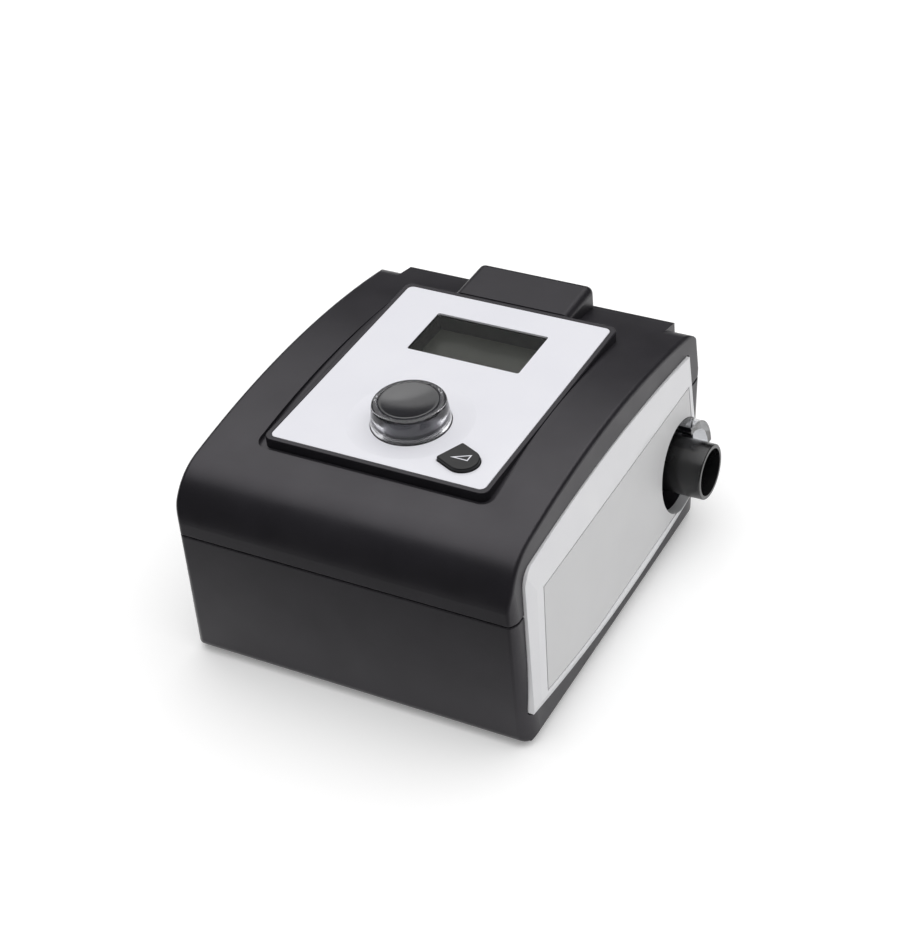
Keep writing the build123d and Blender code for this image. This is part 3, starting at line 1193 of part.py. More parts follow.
def make_accessory_blank():
    """Blank plate in the accessory opening."""
    plate = blank_block(-BLANK_FIT, REAR - PANEL_THICKNESS, REAR - BLANK_SINK)
    return plate + blank_block(BLANK_FLANGE, REAR - 2 * PANEL_THICKNESS, REAR - PANEL_THICKNESS)


def make_card_socket():
    """Socket for the memory card, on the back of the rear panel."""
    rear = REAR - PANEL_THICKNESS
    front = REAR + CARD_STANDS_OUT - CARD_LENGTH - SOCKET_END_GAP
    socket = card_block(SOCKET_WALL, front, rear)
    return socket - card_block(CARD_CLEARANCE, front + SOCKET_END, rear + 1)


def make_memory_card():
    """Removable memory card with its cut corner."""
    rear = REAR + CARD_STANDS_OUT
    card = card_block(0, rear - CARD_LENGTH, rear)
    x, y = CARD_CENTRE[0] + CARD_WIDTH / 2, rear - CARD_LENGTH
    corner = make_face(Polyline((x, y), (x - CARD_NOTCH, y), (x, y + CARD_NOTCH), close=True))
    return card - extrude(corner, BIG, both=True)


def make_dc_jack():
    """Power inlet: a barrel through the panel on a block behind it."""
    x, z = JACK_CENTRE
    rear = REAR - PANEL_THICKNESS
    jack = box((x - JACK_BLOCK, x + JACK_BLOCK), (rear - JACK_LENGTH, rear), (z - JACK_BLOCK, z + JACK_BLOCK))
    jack += bar_y(rear - 1, REAR, x, z, JACK_RADIUS)
    return jack - bar_y(REAR - JACK_LENGTH, REAR + 1, x, z, JACK_BORE)


def make_jack_pin():
    """Centre pin of the power inlet."""
    return bar_y(REAR - JACK_LENGTH, REAR - JACK_PIN_SINK, *JACK_CENTRE, JACK_PIN_RADIUS)


# ---- main board ----
def main_board_corners():
    """Where the main board is screwed to the bottom case."""
    inset = MAIN_SCREW_INSET
    return [(x, y) for x in (-MAIN_BOARD_HALF + inset, MAIN_BOARD_HALF - inset)
            for y in (MAIN_BOARD_FRONT + inset, MAIN_BOARD_REAR - inset)]


def make_main_board():
    """Main board on its four bosses."""
    board = box((-MAIN_BOARD_HALF, MAIN_BOARD_HALF), (MAIN_BOARD_FRONT, MAIN_BOARD_REAR),
                (MAIN_BOARD_HEIGHT, MAIN_BOARD_TOP))
    for x, y in main_board_corners():
        board -= post(x, y, 0, SIDE_TOP, BOARD_SCREW_RADIUS + BOARD_HOLE_FIT)
    return board


def make_capacitors():
    """Three upright capacitors in a row along the front of the main board."""
    row, pitch = MAIN_BOARD_FRONT + CAPACITOR_INSET, 2 * CAPACITOR_RADIUS + CAPACITOR_GAP
    places = [-MAIN_BOARD_HALF + CAPACITOR_INSET + index * pitch for index in range(3)]
    return Compound([post(x, row, MAIN_BOARD_TOP, MAIN_BOARD_TOP + CAPACITOR_HEIGHT, CAPACITOR_RADIUS)
                     for x in places])


def make_main_chip():
    """Processor on the main board."""
    front = MAIN_BOARD_FRONT + CHIP_INSET
    return box((0, CHIP_SIDE), (front, front + CHIP_SIDE), (MAIN_BOARD_TOP, MAIN_BOARD_TOP + CHIP_THICKNESS))


def make_connectors():
    """Board connectors for the motor, the inlet and the upper board, along the rear edge."""
    rear = MAIN_BOARD_REAR - CONNECTOR_INSET
    top = MAIN_BOARD_TOP + CONNECTOR_HEIGHT
    front = rear - CONNECTOR_DEPTH
    return Compound([box((x - width / 2, x + width / 2), (front, rear), (MAIN_BOARD_TOP, top))
                     for x, width in CONNECTORS])


def make_pressure_sensor():
    """Pressure sensor with its barb."""
    x, y = SENSOR_PLACE
    half, top = SENSOR_SIDE / 2, MAIN_BOARD_TOP + SENSOR_HEIGHT
    sensor = box((x - half, x + half), (y - half, y + half), (MAIN_BOARD_TOP, top))
    return sensor + post(x, y, top, top + BARB_LENGTH, BARB_RADIUS)


def make_sensor_tube():
    """Thin tube from the duct's pressure tap to the sensor."""
    x, y = SENSOR_PLACE
    low_front, low_rear = MAIN_BOARD_TOP + SENSOR_HEIGHT + TUBE_GAP, PORT_Z + DUCT_RADIUS + TUBE_GAP
    corners = [(x, y, low_front), (x, y, TUBE_LEVEL), (x, PORT_Y, TUBE_LEVEL), (x, PORT_Y, low_rear)]
    route = FilletPolyline(*corners, radius=TUBE_BEND)
    end = Plane(origin=corners[0], z_dir=(0, 0, 1))
    return sweep(end * Circle(TUBE_RADIUS), route) - sweep(end * Circle(BARB_RADIUS), route)


def make_main_screws():
    """Four screws through the main board."""
    screw = post(0, 0, MAIN_BOARD_TOP, MAIN_BOARD_TOP + BOARD_SCREW_HEAD_HEIGHT, BOARD_SCREW_HEAD)
    screw += post(0, 0, MAIN_BOARD_HEIGHT - BOARD_SCREW_DEPTH, MAIN_BOARD_TOP, BOARD_SCREW_RADIUS)
    return Compound([Pos(x, y, 0) * screw for x, y in main_board_corners()])


# ---- fasteners and feet ----
def make_casing_screws():
    """Four long screws that close the casing from below."""
    head_low = FOOT_HEIGHT + SCREW_HEAD_SINK
    head_high = head_low + SCREW_HEAD_HEIGHT
    screw = post(0, 0, head_low, head_high, SCREW_HEAD_RADIUS)
    screw += post(0, 0, head_high, SCREW_TOP, SCREW_RADIUS)
    return Compound([Pos(x, y, 0) * screw for x, y in BOSS_PLACES])


def make_foot(place):
    """One rubber foot, set in its recess."""
    foot = post(*place, 0, FOOT_HEIGHT + FOOT_RECESS, FOOT_RADIUS)
    return fillet(foot.edges().group_by(Axis.Z)[0], FOOT_EDGE)


# ---- assembly ----
def make_parts():
    """Every piece by its name, about the middle of the casing."""
    shell = casing_shell()
    parts = {
        "bottom_case": make_bottom_case(shell),
        "top_cover": make_top_cover(shell),
        "rear_panel": make_rear_panel(),
        "overlay_plate": make_overlay(),
        "display_window": make_window(),
        "display_shroud": make_shroud(),
        "display_module": make_display(),
        "upper_board": make_ui_board(),
        "upper_board_screws": make_ui_screws(),
        "wheel_ring": make_wheel_ring(),
        "wheel_core": make_wheel_core(),
        "wheel_shaft": make_wheel_shaft(),
        "wheel_spindle": make_wheel_spindle(),
        "wheel_encoder": make_encoder(),
        "ramp_button": make_ramp_button(),
        "ramp_plunger": make_ramp_plunger(),
        "ramp_switch": make_ramp_switch(),
        "side_cover": make_side_cover(),
        "side_label": make_side_label(),
        "outlet_port": make_outlet_port(),
        "outlet_seal": make_port_seal(),
        "release_tab": make_release_tab(),
        "blower_volute_lower": make_volute_lower(),
        "blower_volute_upper": make_volute_upper(),
        "outlet_coupling": make_coupling(),
        "motor_can": make_motor_can(),
        "motor_bearing_lower": make_bearing(MOTOR_LOW + MOTOR_WALL),
        "motor_bearing_upper": make_bearing(VOLUTE_LOW - BEARING_HEIGHT),
        "motor_stator": make_stator(),
        "motor_shaft": make_rotor_shaft(),
        "motor_magnet": make_rotor_magnet(),
        "impeller": make_impeller(),
        "blower_mounts": make_mounts(),
        "intake_muffler": make_muffler(),
        "intake_muffler_lid": make_muffler_lid(),
        "intake_foam": make_muffler_foam(),
        "filter_box": make_filter_box(),
        "fine_filter": make_fine_filter(),
        "foam_filter": make_foam_filter(),
        "filter_cap": make_filter_cap(),
        "accessory_blank": make_accessory_blank(),
        "card_socket": make_card_socket(),
        "memory_card": make_memory_card(),
        "power_jack": make_dc_jack(),
        "power_jack_pin": make_jack_pin(),
        "main_board": make_main_board(),
        "main_board_screws": make_main_screws(),
        "main_capacitors": make_capacitors(),
        "main_chip": make_main_chip(),
        "main_connectors": make_connectors(),
        "pressure_sensor": make_pressure_sensor(),
        "pressure_tube": make_sensor_tube(),
        "casing_screws": make_casing_screws(),
    }
    for name, place in FOOT_PLACES.items():
        parts["foot_" + name] = make_foot(place)
    return parts


os.makedirs("parts", exist_ok=True)
ORIGIN = Pos(-(PORT_MOUTH - BASE_HALF) / 2, 0, 0)
for node, piece in make_parts().items():
    export_step(ORIGIN * piece, "parts/" + node + ".step")
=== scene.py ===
"""How the bedside pressure machine looks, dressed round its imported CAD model.

Metres, X to the machine's right, Y to its rear, Z up, standing on Z = 0, as in the model.
"""
import json
import math

import bmesh
import bpy
from mathutils import Matrix, Vector


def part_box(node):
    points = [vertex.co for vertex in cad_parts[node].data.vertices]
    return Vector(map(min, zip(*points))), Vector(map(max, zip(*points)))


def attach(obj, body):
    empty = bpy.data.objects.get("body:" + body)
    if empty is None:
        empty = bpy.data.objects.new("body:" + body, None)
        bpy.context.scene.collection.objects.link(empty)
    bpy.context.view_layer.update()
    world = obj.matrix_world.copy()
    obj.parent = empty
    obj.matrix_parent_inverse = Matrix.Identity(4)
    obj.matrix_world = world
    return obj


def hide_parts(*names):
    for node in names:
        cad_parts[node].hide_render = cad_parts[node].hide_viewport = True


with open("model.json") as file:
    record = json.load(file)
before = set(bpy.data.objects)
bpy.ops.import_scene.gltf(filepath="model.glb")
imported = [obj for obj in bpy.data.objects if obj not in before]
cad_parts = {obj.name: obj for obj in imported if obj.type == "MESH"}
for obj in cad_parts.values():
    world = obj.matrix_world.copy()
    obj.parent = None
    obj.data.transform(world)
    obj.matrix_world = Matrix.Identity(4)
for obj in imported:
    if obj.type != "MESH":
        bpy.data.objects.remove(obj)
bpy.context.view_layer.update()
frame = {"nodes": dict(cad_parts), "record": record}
scene = bpy.context.scene
MM = 0.001
WHITE = (1, 1, 1, 1)
EVEN = (1, 1, 1)

# ---- view ----
CAMERA_AZIMUTH = math.radians(31.61)
CAMERA_ELEVATION = math.radians(37.11)
CAMERA_ROLL = math.radians(6.07)
CAMERA_TARGET = Vector((-0.00703, 0.001886, 0.0459))
CAMERA_DISTANCE = 0.83674
CAMERA_LENS = 84.74
CAMERA_SENSOR = 36.0

# ---- light ----
WORLD_STRENGTH = 0.42
KEY_STRENGTH = 1.95
KEY_SPREAD = math.radians(90)
KEY_DIRECTION = Vector((0.10, 0.17, 1.0))      # from the machine towards the lamp
FLOOR_COLOUR = (0.94, 0.94, 0.94)
FLOOR_GLOW = 0.18
FLOOR_ROUGHNESS = 0.9
FLOOR_RADIUS = 12.0
FLOOR_SEGMENTS = 96
# The black wall is seen only in reflections: a painted dark reflection of shaded surroundings.
WALL_RADIUS = 2.6
WALL_LOWEST = math.radians(24)                 # top of the dark wall, seen from the machine
WALL_HIGHEST = math.radians(63)
WALL_TURN = math.radians(-50)                  # where it is lowest, from the rear towards the right
WALL_COUNT = 48
# Colour of the cards seen only in reflections: painted dark reflection.
PAINTED_REFLECTION_BLACK = 0.010
# The card in front is painted with light fading from the floor's white to black, seen only in reflections:
# a painted reflection.
PAINTED_REFLECTION_FADE = (-0.100, -0.168)                   # Y where the card in front starts, and where it is black
PAINTED_REFLECTION_FADE_START = 0.94                         # its lightness where it starts
CARD_HEIGHT = 0.001
HIDDEN_FROM = ("camera", "diffuse", "transmission", "shadow")

# ---- textures ----
NOISE_MIDDLE = (0.3, 0.7)                      # the part of a noise's range that is used
NOISE_DETAIL = 2.0
TONE_DETAIL = 3.0
GLOSS_DETAIL = 3.0
CLEAR_DRIFT = 0.97                             # darkest tone of clear plastic, against its colour
CLEAR_GLOSS_DRIFT = 0.04
CLEAR_INDEX = 1.49
METAL_DRIFT = 0.86
METAL_GLOSS_DRIFT = (-0.06, 0.10)
MOULDED_DRIFT = 1.12
MOULDED_GRAIN = 0.012
MOULDED_GLOSS_DRIFT = (-0.06, 0.08)
RUBBER_ROUGHNESS = 0.75
RUBBER_DRIFT = 1.25
RUBBER_GRAIN = 0.03
RUBBER_SHEEN = 0.15
FOAM_ROUGHNESS = 0.95
FOAM_DRIFT = 0.45
FOAM_DEPTH = 0.6                               # of a cell's size
PLEAT_SCALE = 110.0
WINDING_SCALE = 600.0
TRACK_SIZE = 1.6 * MM
TRACK_DEPTH = 0.05 * MM
TRACK_STRETCH = 0.25

# ---- new pieces, in millimetres ----
SMOOTH_ANGLE = math.radians(40)                # edges sharper than this stay sharp
ARC_STEPS = 8
SLEEVE_INNER = 11.45
SLEEVE_OUTER = (14.8, 13.8)                    # at its foot and at its rim
SLEEVE_EDGES = (1.6, 1.3)
SLEEVE_DRAFT = 4                               # degrees that its side leans
BARREL_RADIUS = 11.3
BARREL_EDGE = 0.5
BARREL_PROUD = 0.3                             # above the sleeve's rim
BARREL_DISH = 1.2                              # depth of the hollow in its top
SOCKET_RADIUS = 3.0                            # for the shaft
SOCKET_ROOF = 4.0                              # below the sleeve's rim
LATHE_SEGMENTS = 128
DISH_STEPS = 12
ICON_OUTER = ((18.8, -39.0), (25.6, -39.0), (25.6, -35.4))
ICON_INNER = ((20.5, -38.58), (25.18, -38.58), (25.18, -36.1))
ICON_PROUD = 0.1


# ---- materials ----
class Finish:
    """A principled material whose textures lie in the model's own coordinates."""

    def __init__(self, name, colour, roughness, **sockets):
        self.material = bpy.data.materials.new(name)
        self.material.use_nodes = True
        self.tree = self.material.node_tree
        self.shader = self.tree.nodes["Principled BSDF"]
        self.set("Base Color", (*colour, 1.0))
        self.set("Roughness", roughness)
        for socket, value in sockets.items():
            self.set(socket.replace("_", " "), value)
        self.place = self.node("TexCoord").outputs["Object"]
        self.normal = None

    def set(self, socket, value):
        """Puts a value on one of the shader's sockets."""
        self.shader.inputs[socket].default_value = value

    def node(self, kind, **settings):
        """A new node of the material."""
        made = self.tree.nodes.new("ShaderNode" + kind)
        for key, value in settings.items():
            setattr(made, key, value)
        return made

    def link(self, source, target):
        """Joins an output of one node to an input of another."""
        self.tree.links.new(source, target)

    def noise(self, size, detail=NOISE_DETAIL, stretch=EVEN):
        """Cloudy noise with features of about this size in metres."""
        texture = self.node("TexNoise")
        texture.inputs["Scale"].default_value = 1 / size
        texture.inputs["Detail"].default_value = detail
        if stretch == EVEN:
            self.link(self.place, texture.inputs["Vector"])
        else:
            scale = self.node("Mapping")
            scale.inputs["Scale"].default_value = stretch
            self.link(self.place, scale.inputs["Vector"])
            self.link(scale.outputs["Vector"], texture.inputs["Vector"])
        return texture.outputs["Fac"]

    def spread(self, value, low, high, span=NOISE_MIDDLE):
        """Carries a value from the two ends of span to low and high."""
        reach = self.node("MapRange")
        for socket, number in zip(("From Min", "From Max", "To Min", "To Max"), (*span, low, high)):
            reach.inputs[socket].default_value = number
        self.link(value, reach.inputs["Value"])
        return reach.outputs["Result"]

    def tone(self, other, size, detail=TONE_DETAIL):
        """Lets the colour drift towards another one."""
        mix = self.node("Mix", data_type="RGBA")
        mix.inputs["A"].default_value = self.shader.inputs["Base Color"].default_value
        mix.inputs["B"].default_value = (*other, 1.0)
        self.link(self.spread(self.noise(size, detail), 0, 1), mix.inputs["Factor"])
        self.link(mix.outputs["Result"], self.shader.inputs["Base Color"])
        return self

    def gloss(self, low, high, size, stretch=EVEN):
        """Lets the roughness drift between two values."""
        drift = self.spread(self.noise(size, GLOSS_DETAIL, stretch), low, high)
        self.link(drift, self.shader.inputs["Roughness"])
        return self

    def bump(self, height, depth):
        """Raises the surface by a height value, depth metres at 1."""
        bump = self.node("Bump")
        bump.inputs["Distance"].default_value = depth
        self.link(height, bump.inputs["Height"])
        if self.normal:
            self.link(self.normal, bump.inputs["Normal"])
        self.normal = bump.outputs["Normal"]
        self.link(self.normal, self.shader.inputs["Normal"])
        return self

    def grain(self, size, depth, detail=NOISE_DETAIL, stretch=EVEN):
        """Gives the surface a fine grain."""
        return self.bump(self.noise(size, detail, stretch), depth)

    def cells(self, size, depth):
        """Open cells, as in foam."""
        texture = self.node("TexVoronoi")
        texture.inputs["Scale"].default_value = 1 / size
        self.link(self.place, texture.inputs["Vector"])
        return self.bump(texture.outputs["Distance"], depth)

    def waves(self, scale, **settings):
        """Even ripples, for pleats and windings."""
        texture = self.node("TexWave", **settings)
        texture.inputs["Scale"].default_value = scale
        self.link(self.place, texture.inputs["Vector"])
        return texture.outputs["Fac"]


def times(factor, colour):
    """A colour made lighter or darker."""
    return tuple(min(factor * part, 1.0) for part in colour)


def charcoal():
    """Satin moulded casing plastic with a fine spark-eroded grain."""
    made = Finish("charcoal_satin", (0.0135, 0.0128, 0.0155), 0.36, Specular_IOR_Level=0.42,
                  Specular_Tint=(0.99, 0.95, 1.0, 1.0))
    made.tone((0.0165, 0.0155, 0.019), 0.012).gloss(0.33, 0.41, 0.02)
    return made.grain(0.6 * MM, 0.012 * MM).grain(14 * MM, 0.03 * MM)


def black_satin():
    """Black plastic of the ramp button, the display's shroud and other small parts."""
    made = Finish("black_satin", (0.006, 0.006, 0.0065), 0.38, Specular_IOR_Level=0.4)
    return made.tone((0.008, 0.008, 0.0085), 0.008).gloss(0.34, 0.46, 0.012).grain(0.5 * MM, 0.01 * MM)


def outlet_black():
    """Smoother black plastic of the outlet tube."""
    made = Finish("outlet_black", (0.007, 0.007, 0.0075), 0.26, Specular_IOR_Level=0.6)
    return made.tone((0.009, 0.009, 0.0095), 0.008).gloss(0.23, 0.3, 0.012).grain(0.5 * MM, 0.006 * MM)


def wheel_black():
    """Smooth dark plastic of the wheel's barrel."""
    made = Finish("wheel_black", (0.020, 0.020, 0.023), 0.2, Specular_IOR_Level=0.8)
    return made.tone((0.026, 0.026, 0.029), 0.006).gloss(0.16, 0.24, 0.01).grain(0.4 * MM, 0.003 * MM)


def overlay_film():
    """Printed polycarbonate film of the control panel."""
    made = Finish("overlay_film", (0.79, 0.79, 0.835), 0.32, Specular_IOR_Level=0.5)
    return made.tone((0.76, 0.76, 0.81), 0.03).gloss(0.28, 0.38, 0.015).grain(0.35 * MM, 0.004 * MM)


def cover_silver():
    """Light satin plastic of the side cover's frame."""
    made = Finish("cover_silver", (0.74, 0.74, 0.76), 0.34, Specular_IOR_Level=0.5)
    return made.tone((0.77, 0.77, 0.785), 0.02).gloss(0.30, 0.42, 0.015).grain(0.5 * MM, 0.008 * MM)


def label_grey():
    """Plain label plate."""
    made = Finish("label_grey", (0.62, 0.62, 0.625), 0.42, Specular_IOR_Level=0.4)
    return made.tone((0.64, 0.64, 0.645), 0.025).gloss(0.38, 0.48, 0.02).grain(0.4 * MM, 0.005 * MM)


def clear(name, colour, roughness, index=CLEAR_INDEX):
    """Clear moulded plastic, or with a low index a coated window."""
    made = Finish(name, colour, roughness, Transmission_Weight=1.0, IOR=index)
    made.tone(times(CLEAR_DRIFT, colour), 0.006)
    return made.gloss(roughness, roughness + CLEAR_GLOSS_DRIFT, 0.01).grain(6 * MM, 0.02 * MM)


def lcd():
    """Unlit liquid crystal display: smooth glass over a grey-green field."""
    made = Finish("lcd_field", (0.031, 0.032, 0.028), 0.22, Specular_IOR_Level=0.2)
    return made.tone((0.035, 0.036, 0.032), 0.02).gloss(0.18, 0.26, 0.02).grain(0.3 * MM, 0.002 * MM)


def board_green():
    """Solder mask over copper tracks."""
    made = Finish("board_green", (0.012, 0.115, 0.045), 0.3, Specular_IOR_Level=0.5)
    made.tone((0.02, 0.17, 0.07), 0.003, 0.0).gloss(0.22, 0.4, 0.004)
    for stretch in ((1, TRACK_STRETCH, 1), (TRACK_STRETCH, 1, 1)):
        made.grain(TRACK_SIZE, TRACK_DEPTH, 0.0, stretch)
    return made


def metal(name, colour, roughness, stretch=EVEN):
    """Bare metal, brushed where stretch isn't even."""
    made = Finish(name, colour, roughness, Metallic=1.0)
    made.tone(times(METAL_DRIFT, colour), 0.004)
    low, high = (roughness + drift for drift in METAL_GLOSS_DRIFT)
    return made.gloss(low, high, 0.002, stretch).grain(0.5 * MM, 0.01 * MM, NOISE_DETAIL, stretch)


def moulded(name, colour, roughness, tone=MOULDED_DRIFT, grain=MOULDED_GRAIN):
    """Ordinary moulded plastic or rubber."""
    made = Finish(name, colour, roughness, Specular_IOR_Level=0.4)
    made.tone(times(tone, colour), 0.008)
    low, high = (roughness + drift for drift in MOULDED_GLOSS_DRIFT)
    return made.gloss(low, high, 0.01).grain(0.6 * MM, grain * MM)


def rubber(name, colour):
    """Soft rubber with a dusty sheen."""
    made = moulded(name, colour, RUBBER_ROUGHNESS, RUBBER_DRIFT, RUBBER_GRAIN)
    made.set("Sheen Weight", RUBBER_SHEEN)
    return made


def foam(name, colour, cell):
    """Open-cell foam."""
    made = Finish(name, colour, FOAM_ROUGHNESS, Specular_IOR_Level=0.15)
    return made.tone(times(FOAM_DRIFT, colour), cell, 1.0).cells(cell, FOAM_DEPTH * cell)


def pleated():
    """White filter medium with its pleats."""
    made = Finish("filter_paper", (0.84, 0.84, 0.82), 0.9, Specular_IOR_Level=0.2, Sheen_Weight=0.2)
    made.tone((0.76, 0.76, 0.74), 0.002)
    return made.bump(made.waves(PLEAT_SCALE, wave_profile="SIN"), 0.5 * MM).grain(0.3 * MM, 0.05 * MM)


def windings():
    """Enamelled copper windings."""
    made = Finish("windings", (0.50, 0.19, 0.07), 0.3, Metallic=0.7, Coat_Weight=0.5)
    made.tone((0.36, 0.13, 0.05), 0.003)
    return made.bump(made.waves(WINDING_SCALE, bands_direction="Z"), 0.15 * MM)


FINISHES = {
    "charcoal_plastic": charcoal,
    "black_plastic": black_satin,
    "overlay_white": overlay_film,
    "cover_silver": cover_silver,
    "label_grey": label_grey,
    "clear_acrylic": lambda: clear("clear_acrylic", (0.93, 0.94, 0.95), 0.02),
    "lcd_grey": lcd,
    "board_green": board_green,
    "capacitor_blue": lambda: moulded("capacitor_sleeve", (0.02, 0.035, 0.10), 0.3),
    "component_black": lambda: moulded("component_black", (0.020, 0.020, 0.021), 0.5),
    "connector_white": lambda: moulded("nylon", (0.72, 0.70, 0.62), 0.45),
    "steel": lambda: metal("steel", (0.56, 0.56, 0.57), 0.3, (1, 1, 12)),
    "brass_pin": lambda: metal("plated_brass", (0.80, 0.60, 0.28), 0.25),
    "housing_grey": lambda: moulded("housing_grey", (0.30, 0.31, 0.32), 0.5),
    "impeller_white": lambda: moulded("impeller_white", (0.78, 0.78, 0.76), 0.4),
    "motor_metal": lambda: metal("turned_can", (0.60, 0.60, 0.61), 0.35, (1, 1, 30)),
    "winding_copper": windings,
    "magnet_dark": lambda: moulded("sintered_magnet", (0.05, 0.05, 0.055), 0.55, 1.4, 0.03),
    "black_rubber": lambda: rubber("black_rubber", (0.022, 0.022, 0.023)),
    "grey_silicone": lambda: rubber("grey_silicone", (0.33, 0.33, 0.34)),
    "grey_foam": lambda: foam("grey_foam", (0.14, 0.14, 0.15), 0.9 * MM),
    "white_filter": pleated,
}
# Nodes whose finish differs from that of their slot.
NODE_FINISHES = {
    "display_window": lambda: clear("coated_window", (0.90, 0.91, 0.89), 0.02, 1.13),
    "release_tab": lambda: clear("smoked_tab", (0.55, 0.56, 0.58), 0.06),
    "outlet_port": outlet_black,
}
# Clear nodes, through which light is let without a hard shadow.
CLEAR_NODES = ("display_window", "release_tab")


def paint(piece, material):
    """Gives a piece one material."""
    piece.data.materials.clear()
    piece.data.materials.append(material)


def paint_frame():
    """Gives every CAD node its own finish or that of its slot, and returns the slots' materials."""
    made = {slot: finish().material for slot, finish in FINISHES.items()}
    for part in frame["record"]["subparts"]:
        name = part["node"]
        material = NODE_FINISHES[name]().material if name in NODE_FINISHES else made[part["material_slot"]]
        paint(frame["nodes"][name], material)
    return made


slot_materials = paint_frame()


# ---- pieces ----
def add_object(name, data):
    """A new object in the scene."""
    made = bpy.data.objects.new(name, data)
    scene.collection.objects.link(made)
    return made


def arc(centre, radius, start, end):
    """Points of an arc in degrees, in the plane of a lathe's profile."""
    turns = [math.radians(start + (end - start) * step / ARC_STEPS) for step in range(ARC_STEPS + 1)]
    return [(centre[0] + radius * math.cos(turn), centre[1] + radius * math.sin(turn)) for turn in turns]


def dress(form, name, material, body):
    """Makes a bmesh into a smooth piece that rides on a body, with its sharp edges kept."""
    bmesh.ops.recalc_face_normals(form, faces=form.faces[:])
    for face in form.faces:
        face.smooth = True
    for edge in form.edges:
        edge.smooth = len(edge.link_faces) == 2 and edge.calc_face_angle() < SMOOTH_ANGLE
    mesh = bpy.data.meshes.new(name)
    form.to_mesh(mesh)
    form.free()
    piece = add_object(name, mesh)
    paint(piece, material)
    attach(piece, body)
    return piece


def turned_ring(form, radius, height, centre):
    """One ring of a lathe's points, or a single point on the axis."""
    count = LATHE_SEGMENTS if radius > 0 else 1
    ring = []
    for step in range(count):
        turn = 2 * math.pi * step / count
        x = centre[0] + radius * math.cos(turn) * MM
        y = centre[1] + radius * math.sin(turn) * MM
        ring.append(form.verts.new((x, y, height * MM)))
    return ring


def lathe(profile, centre, closed):
    """A form turned about an upright axis from (radius, height) points."""
    form = bmesh.new()
    rings = [turned_ring(form, radius, height, centre) for radius, height in profile]
    pairs = list(zip(rings, rings[1:]))
    if closed:
        pairs.append((rings[-1], rings[0]))
    for lower, upper in pairs:
        for step in range(LATHE_SEGMENTS):
            places = ((lower, step), (lower, step + 1), (upper, step + 1), (upper, step))
            corners = [ring[turn % len(ring)] for ring, turn in places]
            form.faces.new(list(dict.fromkeys(corners)))
    return form


def sleeve_profile(foot, rim):
    """Outline of the sleeve's wall, from the foot of its bore round the outside."""
    lower, upper = SLEEVE_EDGES
    profile = [(SLEEVE_INNER, foot)]
    profile += arc((SLEEVE_OUTER[0] - lower, foot + lower), lower, -90, SLEEVE_DRAFT)
    profile += arc((SLEEVE_OUTER[1] - upper, rim - upper), upper, SLEEVE_DRAFT, 90)
    return profile + arc((SLEEVE_INNER + BARREL_EDGE, rim - BARREL_EDGE), BARREL_EDGE, 90, 180)


def barrel_profile(foot, rim):
    """Outline of the barrel, from the roof of its socket to the middle of its hollow top."""
    top, reach = rim + BARREL_PROUD, BARREL_RADIUS - BARREL_EDGE
    profile = [(0, rim - SOCKET_ROOF), (SOCKET_RADIUS, rim - SOCKET_ROOF), (SOCKET_RADIUS, foot)]
    profile += arc((reach, foot + BARREL_EDGE), BARREL_EDGE, -90, 0)
    profile += arc((reach, top - BARREL_EDGE), BARREL_EDGE, 0, 90)
    for step in range(1, DISH_STEPS + 1):
        share = 1 - step / DISH_STEPS
        profile.append((reach * share, top - BARREL_DISH * (1 - share ** 2)))
    return profile


def make_wheel():
    """Clear sleeve of the wheel, and its dark barrel with a hollow top; returns the sleeve."""
    low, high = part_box("wheel_ring")
    centre = ((low[0] + high[0]) / 2, (low[1] + high[1]) / 2)
    foot, rim = low[2] / MM, high[2] / MM
    smoke = clear("smoked_acrylic", (0.76, 0.76, 0.79), 0.07).material
    form = lathe(sleeve_profile(foot, rim), centre, True)
    sleeve = dress(form, "wheel_sleeve", smoke, "wheel")
    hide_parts("wheel_ring")
    form = lathe(barrel_profile(foot, rim), centre, False)
    barrel = dress(form, "wheel_barrel", wheel_black().material, "wheel")
    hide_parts("wheel_core")
    return sleeve


def make_icon():
    """Raised outline of a ramp on the button."""
    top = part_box("ramp_button")[1][2]
    form = bmesh.new()
    rows = []
    for height in (top - ICON_PROUD * MM, top + ICON_PROUD * MM):
        for line in (ICON_OUTER, ICON_INNER):
            rows.append([form.verts.new((x * MM, y * MM, height)) for x, y in line])
    outer_low, inner_low, outer_high, inner_high = rows
    for first, second in ((outer_low, outer_high), (inner_high, inner_low),
                          (outer_high, inner_high), (inner_low, outer_low)):
        for index in range(len(first)):
            after = (index + 1) % len(first)
            form.faces.new((first[index], first[after], second[after], second[index]))
    return dress(form, "ramp_icon", slot_materials["overlay_white"], "ramp_press")


sleeve_piece = make_wheel()
make_icon()


# ---- stage ----
def background_share(tree):
    """1 for rays that should see the plain white background, else 0."""
    path = tree.nodes.new("ShaderNodeLightPath")
    total = path.outputs["Is Camera Ray"]
    for ray in ("Is Glossy Ray", "Is Transmission Ray"):
        either = tree.nodes.new("ShaderNodeMath")
        either.operation = "MAXIMUM"
        tree.links.new(total, either.inputs[0])
        tree.links.new(path.outputs[ray], either.inputs[1])
        total = either.outputs[0]
    return total


def make_world():
    """Plain soft light from all round, seen as white."""
    world = bpy.data.worlds.new("studio")
    scene.world = world
    world.use_nodes = True
    tree = world.node_tree
    plain = tree.nodes["Background"]
    plain.inputs["Strength"].default_value = WORLD_STRENGTH
    white = tree.nodes.new("ShaderNodeBackground")
    white.inputs["Color"].default_value = WHITE
    plain.inputs["Color"].default_value = WHITE
    mix = tree.nodes.new("ShaderNodeMixShader")
    tree.links.new(background_share(tree), mix.inputs["Fac"])
    tree.links.new(plain.outputs[0], mix.inputs[1])
    tree.links.new(white.outputs[0], mix.inputs[2])
    tree.links.new(mix.outputs[0], tree.nodes["World Output"].inputs["Surface"])


